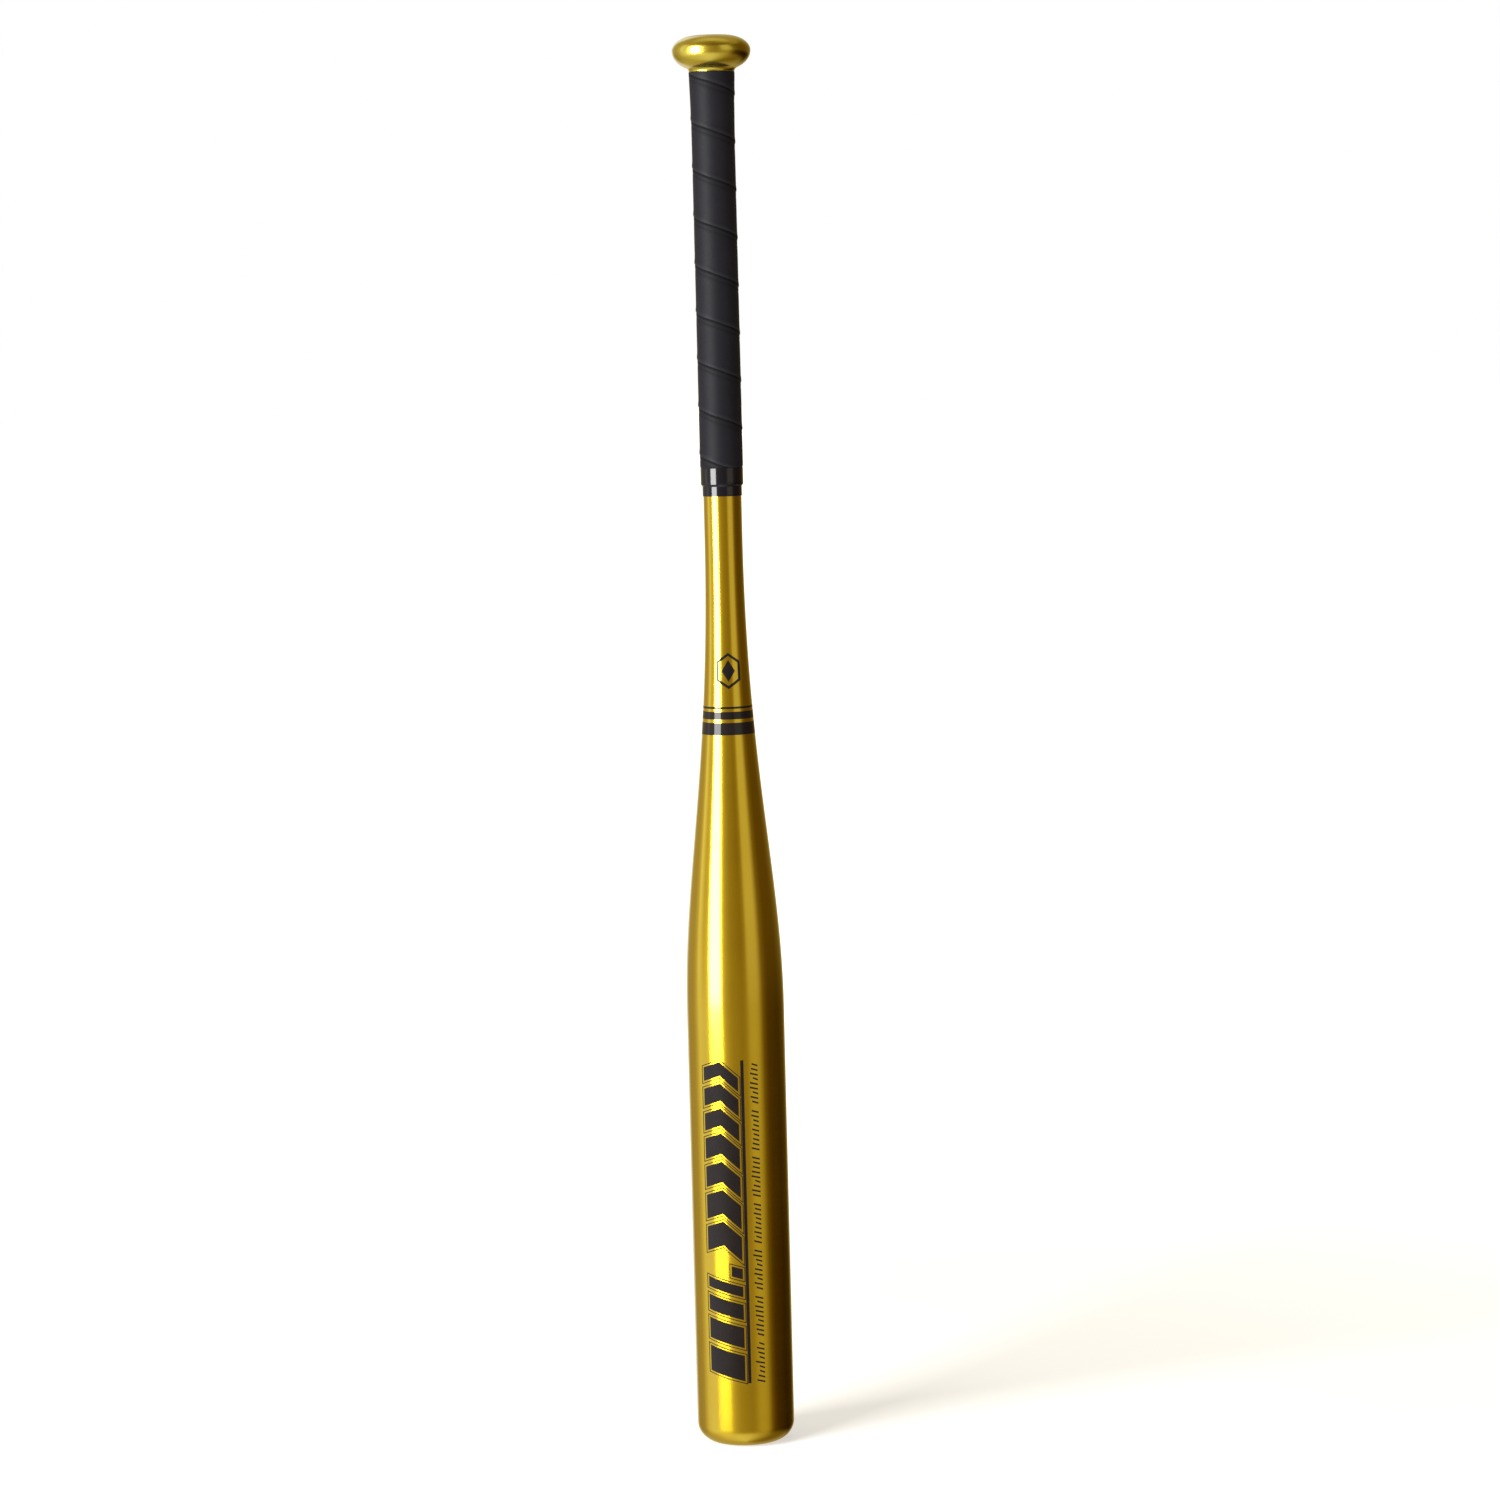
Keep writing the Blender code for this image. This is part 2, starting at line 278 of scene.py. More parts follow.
class ShaderBench(Bench):
    """Adds the nodes of a material."""

    def __init__(self, name: str) -> None:
        """Start a material with one Principled shader."""
        self.material = bpy.data.materials.new(name)
        self.material.use_nodes = True
        super().__init__(self.material.node_tree)
        self.shader = self.tree.nodes["Principled BSDF"]
        self.place = self.node("ShaderNodeTexCoord").outputs["Object"]

    def set(self, **sockets: Signal | float) -> None:
        """Set or link the shader's own sockets, named with _ for a space."""
        for key, value in sockets.items():
            self.feed(self.shader, key.replace("_", " "), value)

    def stretched(self, x: float, y: float, z: float) -> bpy.types.NodeSocket:
        """Give the place on the piece, scaled along each axis."""
        return self.node("ShaderNodeMapping", None, {"Vector": self.place, "Scale": (x, y, z)}).outputs[0]

    def noise(self, scale: float | Scale, detail: float) -> Signal:
        """Add a Noise Texture.

        Args:
            scale: how many features there are in a metre, in all directions or along each axis.
            detail: how many octaves it has.

        Returns:
            The noise, which lies about a half.
        """
        even = isinstance(scale, float)
        place = self.place if even else self.stretched(*scale)
        inputs = {"Vector": place, "Scale": scale if even else 1.0, "Detail": detail}
        return self.signal("ShaderNodeTexNoise", None, inputs)

    def blend(self, factor: Signal, first: Colour | Signal, second: Colour | Signal) -> Signal:
        """Mix two colours.

        Args:
            factor: 0 for the first colour, 1 for the second.
            first: a colour or a colour signal.
            second: a colour or a colour signal.

        Returns:
            The mixed colour.
        """
        inputs = {"Factor_Float": factor.at_least(0.0).at_most(1.0)}
        for key, colour in (("A_Color", first), ("B_Color", second)):
            inputs[key] = colour if isinstance(colour, Signal) else (*colour, 1.0)
        node = self.node("ShaderNodeMix", {"data_type": "RGBA"}, inputs)
        return Signal(self, next(out for out in node.outputs if out.identifier == "Result_Color"))

    def bump(self, height: Signal, distance: float, strength: float = 1.0) -> None:
        """Raise the surface by a height in units of a distance in metres."""
        inputs = {"Height": height, "Distance": distance, "Strength": strength}
        self.feed(self.shader, "Normal", self.node("ShaderNodeBump", None, inputs).outputs[0])


class GeometryBench(Bench):
    """Adds the nodes of a geometry tree whose inputs have names."""

    KINDS = {int: "NodeSocketInt", float: "NodeSocketFloat", bpy.types.Material: "NodeSocketMaterial"}

    def __init__(self, name: str, inputs: dict[str, object]) -> None:
        """Start a tree.

        Args:
            name: the tree's name.
            inputs: each input's name and value.
        """
        super().__init__(bpy.data.node_groups.new(name, "GeometryNodeTree"))
        interface = self.tree.interface
        interface.new_socket("Geometry", in_out="INPUT", socket_type="NodeSocketGeometry")
        interface.new_socket("Geometry", in_out="OUTPUT", socket_type="NodeSocketGeometry")
        self.identifiers: dict[str, str] = {}
        self.values = inputs
        for key, value in inputs.items():
            kind = next(kind for base, kind in self.KINDS.items() if isinstance(value, base))
            self.identifiers[key] = interface.new_socket(key, in_out="INPUT", socket_type=kind).identifier
        self.entry = self.node("NodeGroupInput")

    def given(self, name: str) -> Signal:
        """Give a named input."""
        return Signal(self, self.entry.outputs[name])

    def moved(self, mesh: bpy.types.NodeSocket, place: Signal) -> bpy.types.NodeSocket:
        """Put the points of a mesh in their places."""
        return self.node("GeometryNodeSetPosition", None, {"Geometry": mesh, "Position": place}).outputs[0]

    def end(self, mesh: bpy.types.NodeSocket) -> None:
        """Finish the tree with real geometry and its material.

        Args:
            mesh: the tree's mesh or instances.
        """
        real = self.node("GeometryNodeRealizeInstances", None, {"Geometry": mesh}).outputs[0]
        inputs = {"Geometry": real, "Material": self.given("Material")}
        dressed = self.node("GeometryNodeSetMaterial", None, inputs).outputs[0]
        self.node("NodeGroupOutput", None, {"Geometry": dressed})

    def make(self, name: str, start: bpy.types.Mesh | None = None) -> bpy.types.Object:
        """Run the tree once and keep its result as a plain mesh.

        Args:
            name: the piece's name.
            start: the mesh that the tree starts from.

        Returns:
            The piece.
        """
        piece = add_piece(name, start or bpy.data.meshes.new(name))
        worker = piece.modifiers.new("tree", "NODES")
        worker.node_group = self.tree
        for key, value in self.values.items():
            worker[self.identifiers[key]] = value
        shape = bpy.data.meshes.new_from_object(piece.evaluated_get(bpy.context.evaluated_depsgraph_get()))
        piece.modifiers.remove(worker)
        piece.data = shape
        shape.name = name
        return piece


# Shapes


def add_piece(name: str, mesh: bpy.types.Mesh) -> bpy.types.Object:
    """Put a mesh into the scene."""
    piece = bpy.data.objects.new(name, mesh)
    bpy.context.scene.collection.objects.link(piece)
    return piece


def spaced(count: int) -> list[float]:
    """Give count + 1 even steps from 0 to 1."""
    return [step / count for step in range(count + 1)]


def line(start: Point, end: Point, count: int) -> list[Point]:
    """Give the points of a straight line, both ends included."""
    return [tuple(a + (b - a) * share for a, b in zip(start, end)) for share in spaced(count)]


def arc(centre: Point, across: float, along: float, start: float, end: float, count: int) -> list[Point]:
    """Give the points of an ellipse's arc.

    Args:
        centre: its centre, as (radius, height).
        across: its half width.
        along: its half height.
        start: the first angle in degrees, 0 pointing outwards and 90 up.
        end: the last angle in degrees.
        count: how many steps it has.

    Returns:
        The points, both ends included.
    """
    angles = [math.radians(start + (end - start) * share) for share in spaced(count)]
    return [(centre[0] + across * math.cos(a), centre[1] + along * math.sin(a)) for a in angles]


def bezier(controls: list[Point], count: int) -> list[Point]:
    """Give the points of a Bezier curve.

    Args:
        controls: its control points.
        count: how many steps it has.

    Returns:
        The points, both ends included.
    """
    order = len(controls) - 1
    points = []
    for share in spaced(count):
        weights = [math.comb(order, k) * share**k * (1 - share) ** (order - k) for k in range(order + 1)]
        points.append(tuple(sum(w * c[axis] for w, c in zip(weights, controls)) for axis in (0, 1)))
    return points


def close_and_smooth(piece: bpy.types.Object, sharp: float = 32.0) -> None:
    """Point the faces of a closed mesh outwards and smooth it between its sharp edges.

    Args:
        piece: the piece.
        sharp: the least angle of a sharp edge, in degrees.
    """
    shape = bmesh.new()
    shape.from_mesh(piece.data)
    bmesh.ops.recalc_face_normals(shape, faces=shape.faces)
    shape.to_mesh(piece.data)
    shape.free()
    piece.data.shade_smooth()
    piece.data.set_sharp_from_angle(angle=math.radians(sharp))


def turn(
    name: str, outline: list[Point], material: bpy.types.Material, segments: int, closed: bool = True
) -> bpy.types.Object:
    """Turn an outline about the bat's axis.

    The outline is swept round a circle one metre in radius, from which its own radius is measured, because a
    sweep puts a profile's X outwards and its Y downwards.

    Args:
        name: the piece's name.
        outline: its (radius, height) points.
        material: its finish.
        segments: how many steps there are round the axis.
        closed: whether the last point joins the first, which a piece that reaches the axis doesn't need.

    Returns:
        The piece.
    """
    inputs = {"Segments": segments, "Guide Radius": 1.0, "Weld Distance": WELD_SLACK, "Material": material}
    bench = GeometryBench(name, inputs)
    guide = bench.given("Guide Radius")
    radius, _, height = bench.split(bench.node("GeometryNodeInputPosition").outputs[0])
    flat = bench.moved(bench.entry.outputs["Geometry"], bench.join(radius - guide, 0.0 - height, 0.0))
    profile = bench.node("GeometryNodeMeshToCurve", None, {"Mesh": flat}).outputs[0]
    sizes = {"Resolution": bench.given("Segments"), "Radius": guide}
    circle = bench.node("GeometryNodeCurvePrimitiveCircle", None, sizes).outputs["Curve"]
    curves = {"Curve": circle, "Profile Curve": profile}
    swept = bench.node("GeometryNodeCurveToMesh", None, curves).outputs[0]
    weld = {"Geometry": swept, "Distance": bench.given("Weld Distance")}
    bench.end(bench.node("GeometryNodeMergeByDistance", None, weld).outputs[0])
    count = len(outline)
    edges = [(k, (k + 1) % count) for k in range(count if closed else count - 1)]
    drawn = bpy.data.meshes.new(name)
    drawn.from_pydata([(radius, 0.0, height) for radius, height in outline], edges, [])
    piece = bench.make(name, drawn)
    close_and_smooth(piece)
    return piece


def cut(shape: bmesh.types.BMesh, place: tuple, normal: tuple, clear_outer: bool = False) -> None:
    """Cut a whole mesh by a plane, and drop what lies beyond it if so told."""
    geometry = [*shape.verts, *shape.edges, *shape.faces]
    bmesh.ops.bisect_plane(
        shape, geom=geometry, dist=CUT_SLACK, plane_co=place, plane_no=normal, clear_outer=clear_outer
    )


def offset_outline(corners: list[Point], distance: float) -> list[Point]:
    """Move the sides of a polygon outwards.

    Args:
        corners: its corners, anticlockwise.
        distance: how far the sides move.

    Returns:
        The corners of the larger polygon.
    """
    moved = []
    for before, corner, after in zip(corners[-1:] + corners[:-1], corners, corners[1:] + corners[:1]):
        into = (Vector(corner) - Vector(before)).normalized()
        away = (Vector(after) - Vector(corner)).normalized()
        first, second = Vector((into.y, -into.x)), Vector((away.y, -away.x))
        reach = distance / (1 + first.dot(second))
        moved.append(tuple(Vector(corner) + (first + second) * reach))
    return moved


# Finishes


@dataclass(frozen=True)
class ClearedGold:
    """Gold-tinted clear coat over fine turned metal, whose rings draw each light out along the bat."""

    name: str = "cleared_gold"
    light: Colour = (0.87, 0.635, 0.022)
    deep: Colour = (0.77, 0.535, 0.010)
    roughness: float = 0.235
    anisotropy: float = 0.80
    coat_roughness: float = 0.13
    coat_ior: float = 1.6
    speck: Colour = (0.95, 0.80, 0.35)
    speck_range: Pair = (0.78, 0.84)
    speck_scale: float = 900.0
    ring_scale: Scale = (60.0, 60.0, 5200.0)
    band_scale: Scale = (8.0, 8.0, 420.0)
    cloud_scale: float = 38.0
    ring_height: float = 0.3e-6

    def make(self) -> bpy.types.Material:
        """Build the finish.

        Returns:
            The material.
        """
        bench = ShaderBench(self.name)
        rings = bench.noise(self.ring_scale, 3.0)
        bands = bench.noise(self.band_scale, 2.0)
        cloud = bench.noise(self.cloud_scale, 3.0)
        specks = bench.noise(self.speck_scale, 1.0).rise(*self.speck_range)
        tone = rings.swing(0.12) + bands.swing(0.10) + cloud
        colour = bench.blend(tone, self.deep, self.light)
        bench.set(Base_Color=bench.blend(specks * 0.35, colour, self.speck))
        wear = rings.swing(0.03) + bands.swing(0.03) + cloud.swing(0.04)
        bench.set(Roughness=wear + specks * 0.04 + self.roughness)
        bench.bump(rings + bands, self.ring_height)
        bench.set(
            Metallic=1.0,
            Anisotropic=self.anisotropy,
            Anisotropic_Rotation=0.25,
            Coat_Weight=1.0,
            Coat_Roughness=self.coat_roughness,
            Coat_IOR=self.coat_ior,
        )
        return bench.material


@dataclass(frozen=True)
class PolishedGold:
    """The knob's gold: the same tinted coat over polished metal with faint swirls and knocks."""

    name: str = "polished_gold"
    light: Colour = (0.83, 0.68, 0.090)
    deep: Colour = (0.71, 0.56, 0.050)
    roughness: float = 0.25
    coat_roughness: float = 0.18
    coat_ior: float = 1.55
    swirl_scale: Scale = (160.0, 160.0, 900.0)
    dent_scale: float = 210.0
    dent_height: float = 8e-6

    def make(self) -> bpy.types.Material:
        """Build the finish.

        Returns:
            The material.
        """
        bench = ShaderBench(self.name)
        swirl = bench.noise(self.swirl_scale, 3.0)
        dents = bench.noise(self.dent_scale, 2.0)
        bench.set(Base_Color=bench.blend(swirl, self.deep, self.light))
        bench.set(Roughness=swirl.swing(0.08) + dents.swing(0.06) + self.roughness)
        bench.bump(dents + swirl * 0.05, self.dent_height, 0.4)
        bench.set(Metallic=1.0, Coat_Weight=1.0, Coat_Roughness=self.coat_roughness, Coat_IOR=self.coat_ior)
        return bench.material


@dataclass(frozen=True)
class PrintedInk:
    """Violet-black screen print under the clear coat, with a fine grain and pinholes."""

    name: str = "printed_ink"
    ink: Colour = (0.0040, 0.0028, 0.0055)
    thin: Colour = (0.0110, 0.0075, 0.0100)
    roughness: float = 0.42
    grain_scale: float = 1400.0
    cloud_scale: float = 120.0
    grain_height: float = 4e-6

    def make(self) -> bpy.types.Material:
        """Build the finish.

        Returns:
            The material.
        """
        bench = ShaderBench(self.name)
        grain = bench.noise(self.grain_scale, 3.0)
        cloud = bench.noise(self.cloud_scale, 2.0)
        bench.set(Base_Color=bench.blend(grain * 0.6 + cloud - 0.45, self.ink, self.thin))
        bench.set(Roughness=grain.swing(0.15) + self.roughness)
        bench.bump(grain, self.grain_height, 0.5)
        bench.set(Specular_IOR_Level=0.05, Coat_Weight=1.0, Coat_Roughness=0.04, Coat_IOR=1.4)
        return bench.material


@dataclass(frozen=True)
class GripSkin:
    """Soft charcoal polyurethane with a fine leather grain, darkened to near black below each lap's step as
    painted shade, and rougher there.
    """

    name: str = "grip_skin"
    face: Colour = (0.0092, 0.0090, 0.0138)
    low: Colour = (0.0056, 0.0055, 0.0088)
    # The near-black that the painted shade below each lap's step pulls the colour towards.
    painted_seam_shade: Colour = (0.0015, 0.0015, 0.0024)
    rubbed: Colour = (0.0148, 0.0145, 0.0205)
    roughness: float = 0.56
    pore_scale: float = 2600.0
    grain_scale: float = 1700.0
    cloud_scale: float = 70.0
    grain_height: float = 55e-6

    def make(self) -> bpy.types.Material:
        """Build the finish.

        Returns:
            The material.
        """
        bench = ShaderBench(self.name)
        pores = bench.signal("ShaderNodeTexVoronoi", None, {"Vector": bench.place, "Scale": self.pore_scale})
        grain = bench.noise(self.grain_scale, 4.0)
        cloud = bench.noise(self.cloud_scale, 3.0)
        shade, lip = (
            bench.signal("ShaderNodeAttribute", {"attribute_name": name}, None, "Fac")
            for name in ("painted_seam_shade", "lip")
        )
        face = bench.blend(grain * 0.5 + cloud * 0.9 - 0.2, self.low, self.face)
        worn = bench.blend(lip * cloud * 1.2, face, self.rubbed)
        # Painted shade: below each lap's step, where the raised lip's shadow falls, the colour is pulled
        # towards near black.
        bench.set(Base_Color=bench.blend(shade, worn, self.painted_seam_shade))
        bench.set(Roughness=grain.swing(0.2) + shade * 0.2 - lip * 0.05 + self.roughness)
        bench.bump(grain + pores * 0.6 + cloud * 0.8, self.grain_height, 0.5)
        bench.set(Specular_IOR_Level=0.14, Sheen_Weight=0.02, Sheen_Roughness=0.4)
        return bench.material


@dataclass(frozen=True)
class GlossVinyl:
    """Stretched black vinyl tape: a clean mirror with faint pull marks round the handle."""

    name: str = "gloss_vinyl"
    face: Colour = (0.0008, 0.0014, 0.0075)
    scuff: Colour = (0.0050, 0.0056, 0.0120)
    roughness: float = 0.10
    pull_scale: Scale = (70.0, 70.0, 1300.0)
    pull_height: float = 9e-6
    dust_scale: float = 1500.0
    dust_range: Pair = (0.60, 0.75)

    def make(self) -> bpy.types.Material:
        """Build the finish.

        Returns:
            The material.
        """
        bench = ShaderBench(self.name)
        pull = bench.noise(self.pull_scale, 2.0)
        dust = bench.noise(self.dust_scale, 2.0).rise(*self.dust_range)
        bench.set(Base_Color=bench.blend(dust * 0.6, self.face, self.scuff))
        bench.set(Roughness=dust * 0.12 + pull.swing(0.05) + self.roughness)
        bench.bump(pull, self.pull_height, 0.5)
        bench.set(Specular_IOR_Level=0.62)
        return bench.material


@dataclass(frozen=True)
class PlainFinish:
    """A moulded, foamed, woven or cast finish: two tones, a grain and a bump, all at one scale."""

    name: str
    low: Colour
    high: Colour
    roughness: float
    scale: float
    depth: float
    metallic: float = 0.0
    weave: bool = False
    threads_round: float = 70.0
    threads_along: float = 5200.0

    def make(self) -> bpy.types.Material:
        """Build the finish.

        Returns:
            The material.
        """
        bench = ShaderBench(self.name)
        grain = bench.noise(self.scale, 3.0)
        height = grain
        if self.weave:
            x, y, z = bench.split(bench.place)
            warp = (x.angle_from(y) * self.threads_round).sine()
            height = warp * (z * self.threads_along).sine() * 0.5 + grain * 0.5
        bench.set(Base_Color=bench.blend(height, self.low, self.high))
        bench.set(Roughness=grain.swing(0.2) + self.roughness)
        bench.bump(height, self.depth, 0.7)
        bench.set(Metallic=self.metallic)
        return bench.material


# The bat


@dataclass
class SubAssembly:
    """What every sub-assembly of the bat does with its pieces."""

    frame: dict = field(repr=False)

    def adopt(self, piece: bpy.types.Object, slot: Slot, *nodes: str) -> bpy.types.Object:
        """Let a finished piece ride on the bat.

        Args:
            piece: the piece.
            slot: the record's slot that its finish stands for; not used.
            nodes: the CAD nodes that it stands for.

        Returns:
            The piece.
        """
        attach(piece, ROOT)
        if nodes:
            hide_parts(*nodes)
        replaced = ", ".join(nodes) or "no node"
        log.info("%s: %d faces, stands for %s", piece.name, len(piece.data.polygons), replaced)
        return piece

    def dress(self, node: str, finish: PlainFinish) -> None:
        """Give a CAD node that keeps its shape its finish."""
        self.frame["nodes"][node].material_slots[0].material = finish.make()
        log.info("%s: dressed with %s", node, finish.name)


@dataclass
class Tube(SubAssembly):
    """The spun tube: a straight barrel, a long taper, a straight handle and a flare under the knob."""

    wall: float = 2.3 * MM
    handle_radius: float = 10.95 * MM
    barrel_top: float = 254.3 * MM
    handle_bottom: float = 527.9 * MM
    barrel_shoulder: float = 80.6 * MM
    handle_shoulder: float = 136.4 * MM
    flare_start: float = 735.0 * MM
    flare: float = 0.9 * MM
    corner: float = 11.0 * MM
    end_wall: float = 4.0 * MM
    foot_inner: float = 14.0 * MM
    dish: Point = (11.5 * MM, 1.4 * MM)
    hole: float = 9.0 * MM
    bevel: float = 1.9 * MM
    segments: int = 224
    measured_steps: int = 400
    flare_steps: int = 12
    handle_steps: int = 14
    taper_steps: int = 72
    barrel_steps: int = 24
    corner_steps: int = 22
    inner_corner_steps: int = 6
    inner_taper_steps: int = 16

    def __post_init__(self) -> None:
        """Read the tube's overall size from the frame."""
        low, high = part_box("bat_shell")
        self.barrel_radius: float = high.x
        self.top: float = high.z
        self.measured: list[Point] = self.taper(0.0, self.measured_steps)

    def swell(self, height: float) -> float:
        """Give how far the handle has flared at a height."""
        return self.flare * max(0.0, (height - self.flare_start) / (self.top - self.flare_start)) ** 3

    def taper(self, offset: float, count: int) -> list[Point]:
        """Give the taper's curve from the handle down to the barrel.

        Args:
            offset: how far it is moved inwards.
            count: how many steps it has.

        Returns:
            Its (radius, height) points.
        """
        handle, barrel = self.handle_radius - offset, self.barrel_radius - offset
        controls = [
            (handle, self.handle_bottom),
            (handle, self.handle_bottom - self.handle_shoulder),
            (barrel, self.barrel_top + self.barrel_shoulder),
            (barrel, self.barrel_top),
        ]
        return bezier(controls, count)

    def radius(self, height: float) -> float:
        """Give the tube's outer radius at a height above its corner.

        Args:
            height: the height.

        Returns:
            The radius.
        """
        if height <= self.barrel_top:
            return self.barrel_radius
        if height >= self.handle_bottom:
            return self.handle_radius + self.swell(height)
        above, below = next(pair for pair in zip(self.measured, self.measured[1:]) if pair[1][1] <= height)
        share = (height - below[1]) / (above[1] - below[1])
        return below[0] + (above[0] - below[0]) * share

    def outline(self) -> list[Point]:
        """Give the tube's closed outline: down its outer side, round the spun end and back up inside.

        Returns:
            Its (radius, height) points.
        """
        bevel_bottom = self.top - self.bevel
        bevel_outer = self.handle_radius + self.swell(bevel_bottom)
        handle, barrel = self.handle_radius, self.barrel_radius
        outer = [(bevel_outer - self.bevel, self.top)]
        flare = line((0.0, bevel_bottom), (0.0, self.flare_start), self.flare_steps)
        outer += [(handle + self.swell(height), height) for _, height in flare]
        outer += line((handle, self.flare_start), (handle, self.handle_bottom), self.handle_steps)[1:]
        outer += self.taper(0.0, self.taper_steps)[1:]
        outer += line((barrel, self.barrel_top), (barrel, self.corner), self.barrel_steps)[1:]
        bend = (barrel - self.corner, self.corner)
        outer += arc(bend, self.corner, self.corner, 0, -90, self.corner_steps)[1:]
        outer += [(self.foot_inner, 0.0), self.dish, (self.hole, self.dish[1])]
        inner_corner = self.corner - self.wall
        inner_bend = (bend[0], self.end_wall + inner_corner)
        inner = [(self.hole, self.end_wall)]
        inner += arc(inner_bend, inner_corner, inner_corner, -90, 0, self.inner_corner_steps)
        inner += reversed(self.taper(self.wall, self.inner_taper_steps))
        inner += [(handle - self.wall, self.top)]
        return outer + inner

    def build(self) -> None:
        """Build the tube."""
        piece = turn("spun_tube", self.outline(), ClearedGold().make(), self.segments)
        self.adopt(piece, Slot.GOLD_SHELL, "bat_shell")


@dataclass
class Knob(SubAssembly):
    """The knob: a rounded rim over a hollow neck, its spigot, the plug in its bore and the weld below it."""

    crown_flat: float = 8.0 * MM
    rim_height: float = 804.1 * MM
    rim_drop: float = 10.7 * MM
    rim_turn: float = 59.3
    neck_radius: float = 13.0 * MM
    neck_bottom: float = 792.3 * MM
    neck_hollow: float = 1.57 * MM
    spigot_radius: float = 8.35 * MM
    bore: float = 4.2 * MM
    seat: float = 6.5 * MM
    seat_depth: float = 1.6 * MM
    edge: float = 0.25 * MM
    segments: int = 160
    crown_steps: int = 28
    under_steps: int = 18
    neck_steps: int = 10
    plug_play: float = 0.3 * MM
    plug_head: float = 1.3 * MM
    plug_shoulder: float = 0.55 * MM
    plug_round: float = 0.2 * MM
    plug_chamfer: float = 0.3 * MM
    plug_segments: int = 96

    def build(self) -> None:
        """Build the knob and its plug, and dress the weld."""
        low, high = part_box("knob")
        centre, across = (self.crown_flat, self.rim_height), high.x - self.crown_flat
        crown = arc(centre, across, high.z - self.rim_height, 90, 0, self.crown_steps)
        under = arc(centre, across, self.rim_drop, 0, -self.rim_turn, self.under_steps)
        neck_top = (self.neck_radius, self.neck_bottom + self.neck_hollow)
        hollow = bezier([under[-1], neck_top, (self.neck_radius, self.neck_bottom)], self.neck_steps)
        outline = [(self.seat + self.edge, high.z)] + crown + under[1:] + hollow[1:]
        outline += [(self.spigot_radius, self.neck_bottom), (self.spigot_radius, low.z), (self.bore, low.z)]
        outline += [(self.bore, high.z - self.seat_depth), (self.seat, high.z - self.seat_depth)]
        outline += [(self.seat, high.z - self.edge)]
        gold = PolishedGold().make()
        self.adopt(turn("knob_body", outline, gold, self.segments), Slot.GOLD_KNOB, "knob")
        self.build_plug()
        pale, bright = (0.45, 0.45, 0.46), (0.80, 0.80, 0.81)
        weld = PlainFinish("weld_bead", pale, bright, roughness=0.35, scale=900.0, depth=60e-6, metallic=1.0)
        self.dress("knob_weld", weld)

    def build_plug(self) -> None:
        """Build the plug: a low dome with a rounded edge, and a stem with a chamfered end."""
        low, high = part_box("knob_plug")
        radius, stem = high.x, self.bore - self.plug_play
        seat = high.z - self.plug_head
        shoulder = seat + self.plug_shoulder
        dome = arc((0.0, shoulder), radius - self.plug_round, high.z - shoulder, 88, 20, 12)
        outline = [(0.0, high.z)] + dome
        outline += [(radius, shoulder - self.plug_round / 2), (radius, seat), (stem, seat)]
        outline += [(stem, low.z + self.plug_chamfer), (stem - self.plug_chamfer, low.z), (0.0, low.z)]
        dark, worn = (0.006, 0.006, 0.007), (0.013, 0.013, 0.014)
        finish = PlainFinish("moulded_black", dark, worn, roughness=0.38, scale=1300.0, depth=18e-6)
        piece = turn("bore_plug", outline, finish.make(), self.plug_segments, closed=False)
        self.adopt(piece, Slot.PLUG_PLASTIC, "knob_plug")


@dataclass
class BarrelEnd(SubAssembly):
    """What closes the barrel's spun end: a rubber plug with a moulded rim, and the foam damper behind it."""

    neck: float = 8.7 * MM
    wall_top: float = 4.3 * MM
    head_top: float = 1.1 * MM
    groove_radius: float = 7.2 * MM
    groove: float = 0.25 * MM
    lip: float = 0.3 * MM
    segments: int = 128

    def build(self) -> None:
        """Build the end plug and dress the damper."""
        low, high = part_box("barrel_end_plug")
        radius = high.x
        barb = line((self.neck, high.z), (radius, self.wall_top), 4)
        outline = [(0.0, high.z)] + barb + [(self.neck, self.wall_top), (self.neck, self.head_top)]
        outline += [(radius, self.head_top)]
        outline += arc((radius - self.lip, low.z + self.lip), self.lip, self.lip, 0, -90, 5)
        outline += arc((self.groove_radius, low.z), self.groove, self.groove, 0, 180, 8)
        outline += [(0.0, low.z)]
        dark, dusty = (0.010, 0.010, 0.010), (0.022, 0.022, 0.021)
        rubber = PlainFinish("end_rubber", dark, dusty, roughness=0.62, scale=900.0, depth=35e-6)
        piece = turn("end_plug", outline, rubber.make(), self.segments, closed=False)
        self.adopt(piece, Slot.PLUG_RUBBER, "barrel_end_plug")
        cell, skin = (0.20, 0.20, 0.21), (0.42, 0.42, 0.43)
        foam = PlainFinish("damper_foam", cell, skin, roughness=0.9, scale=700.0, depth=400e-6)
        self.dress("barrel_damper", foam)


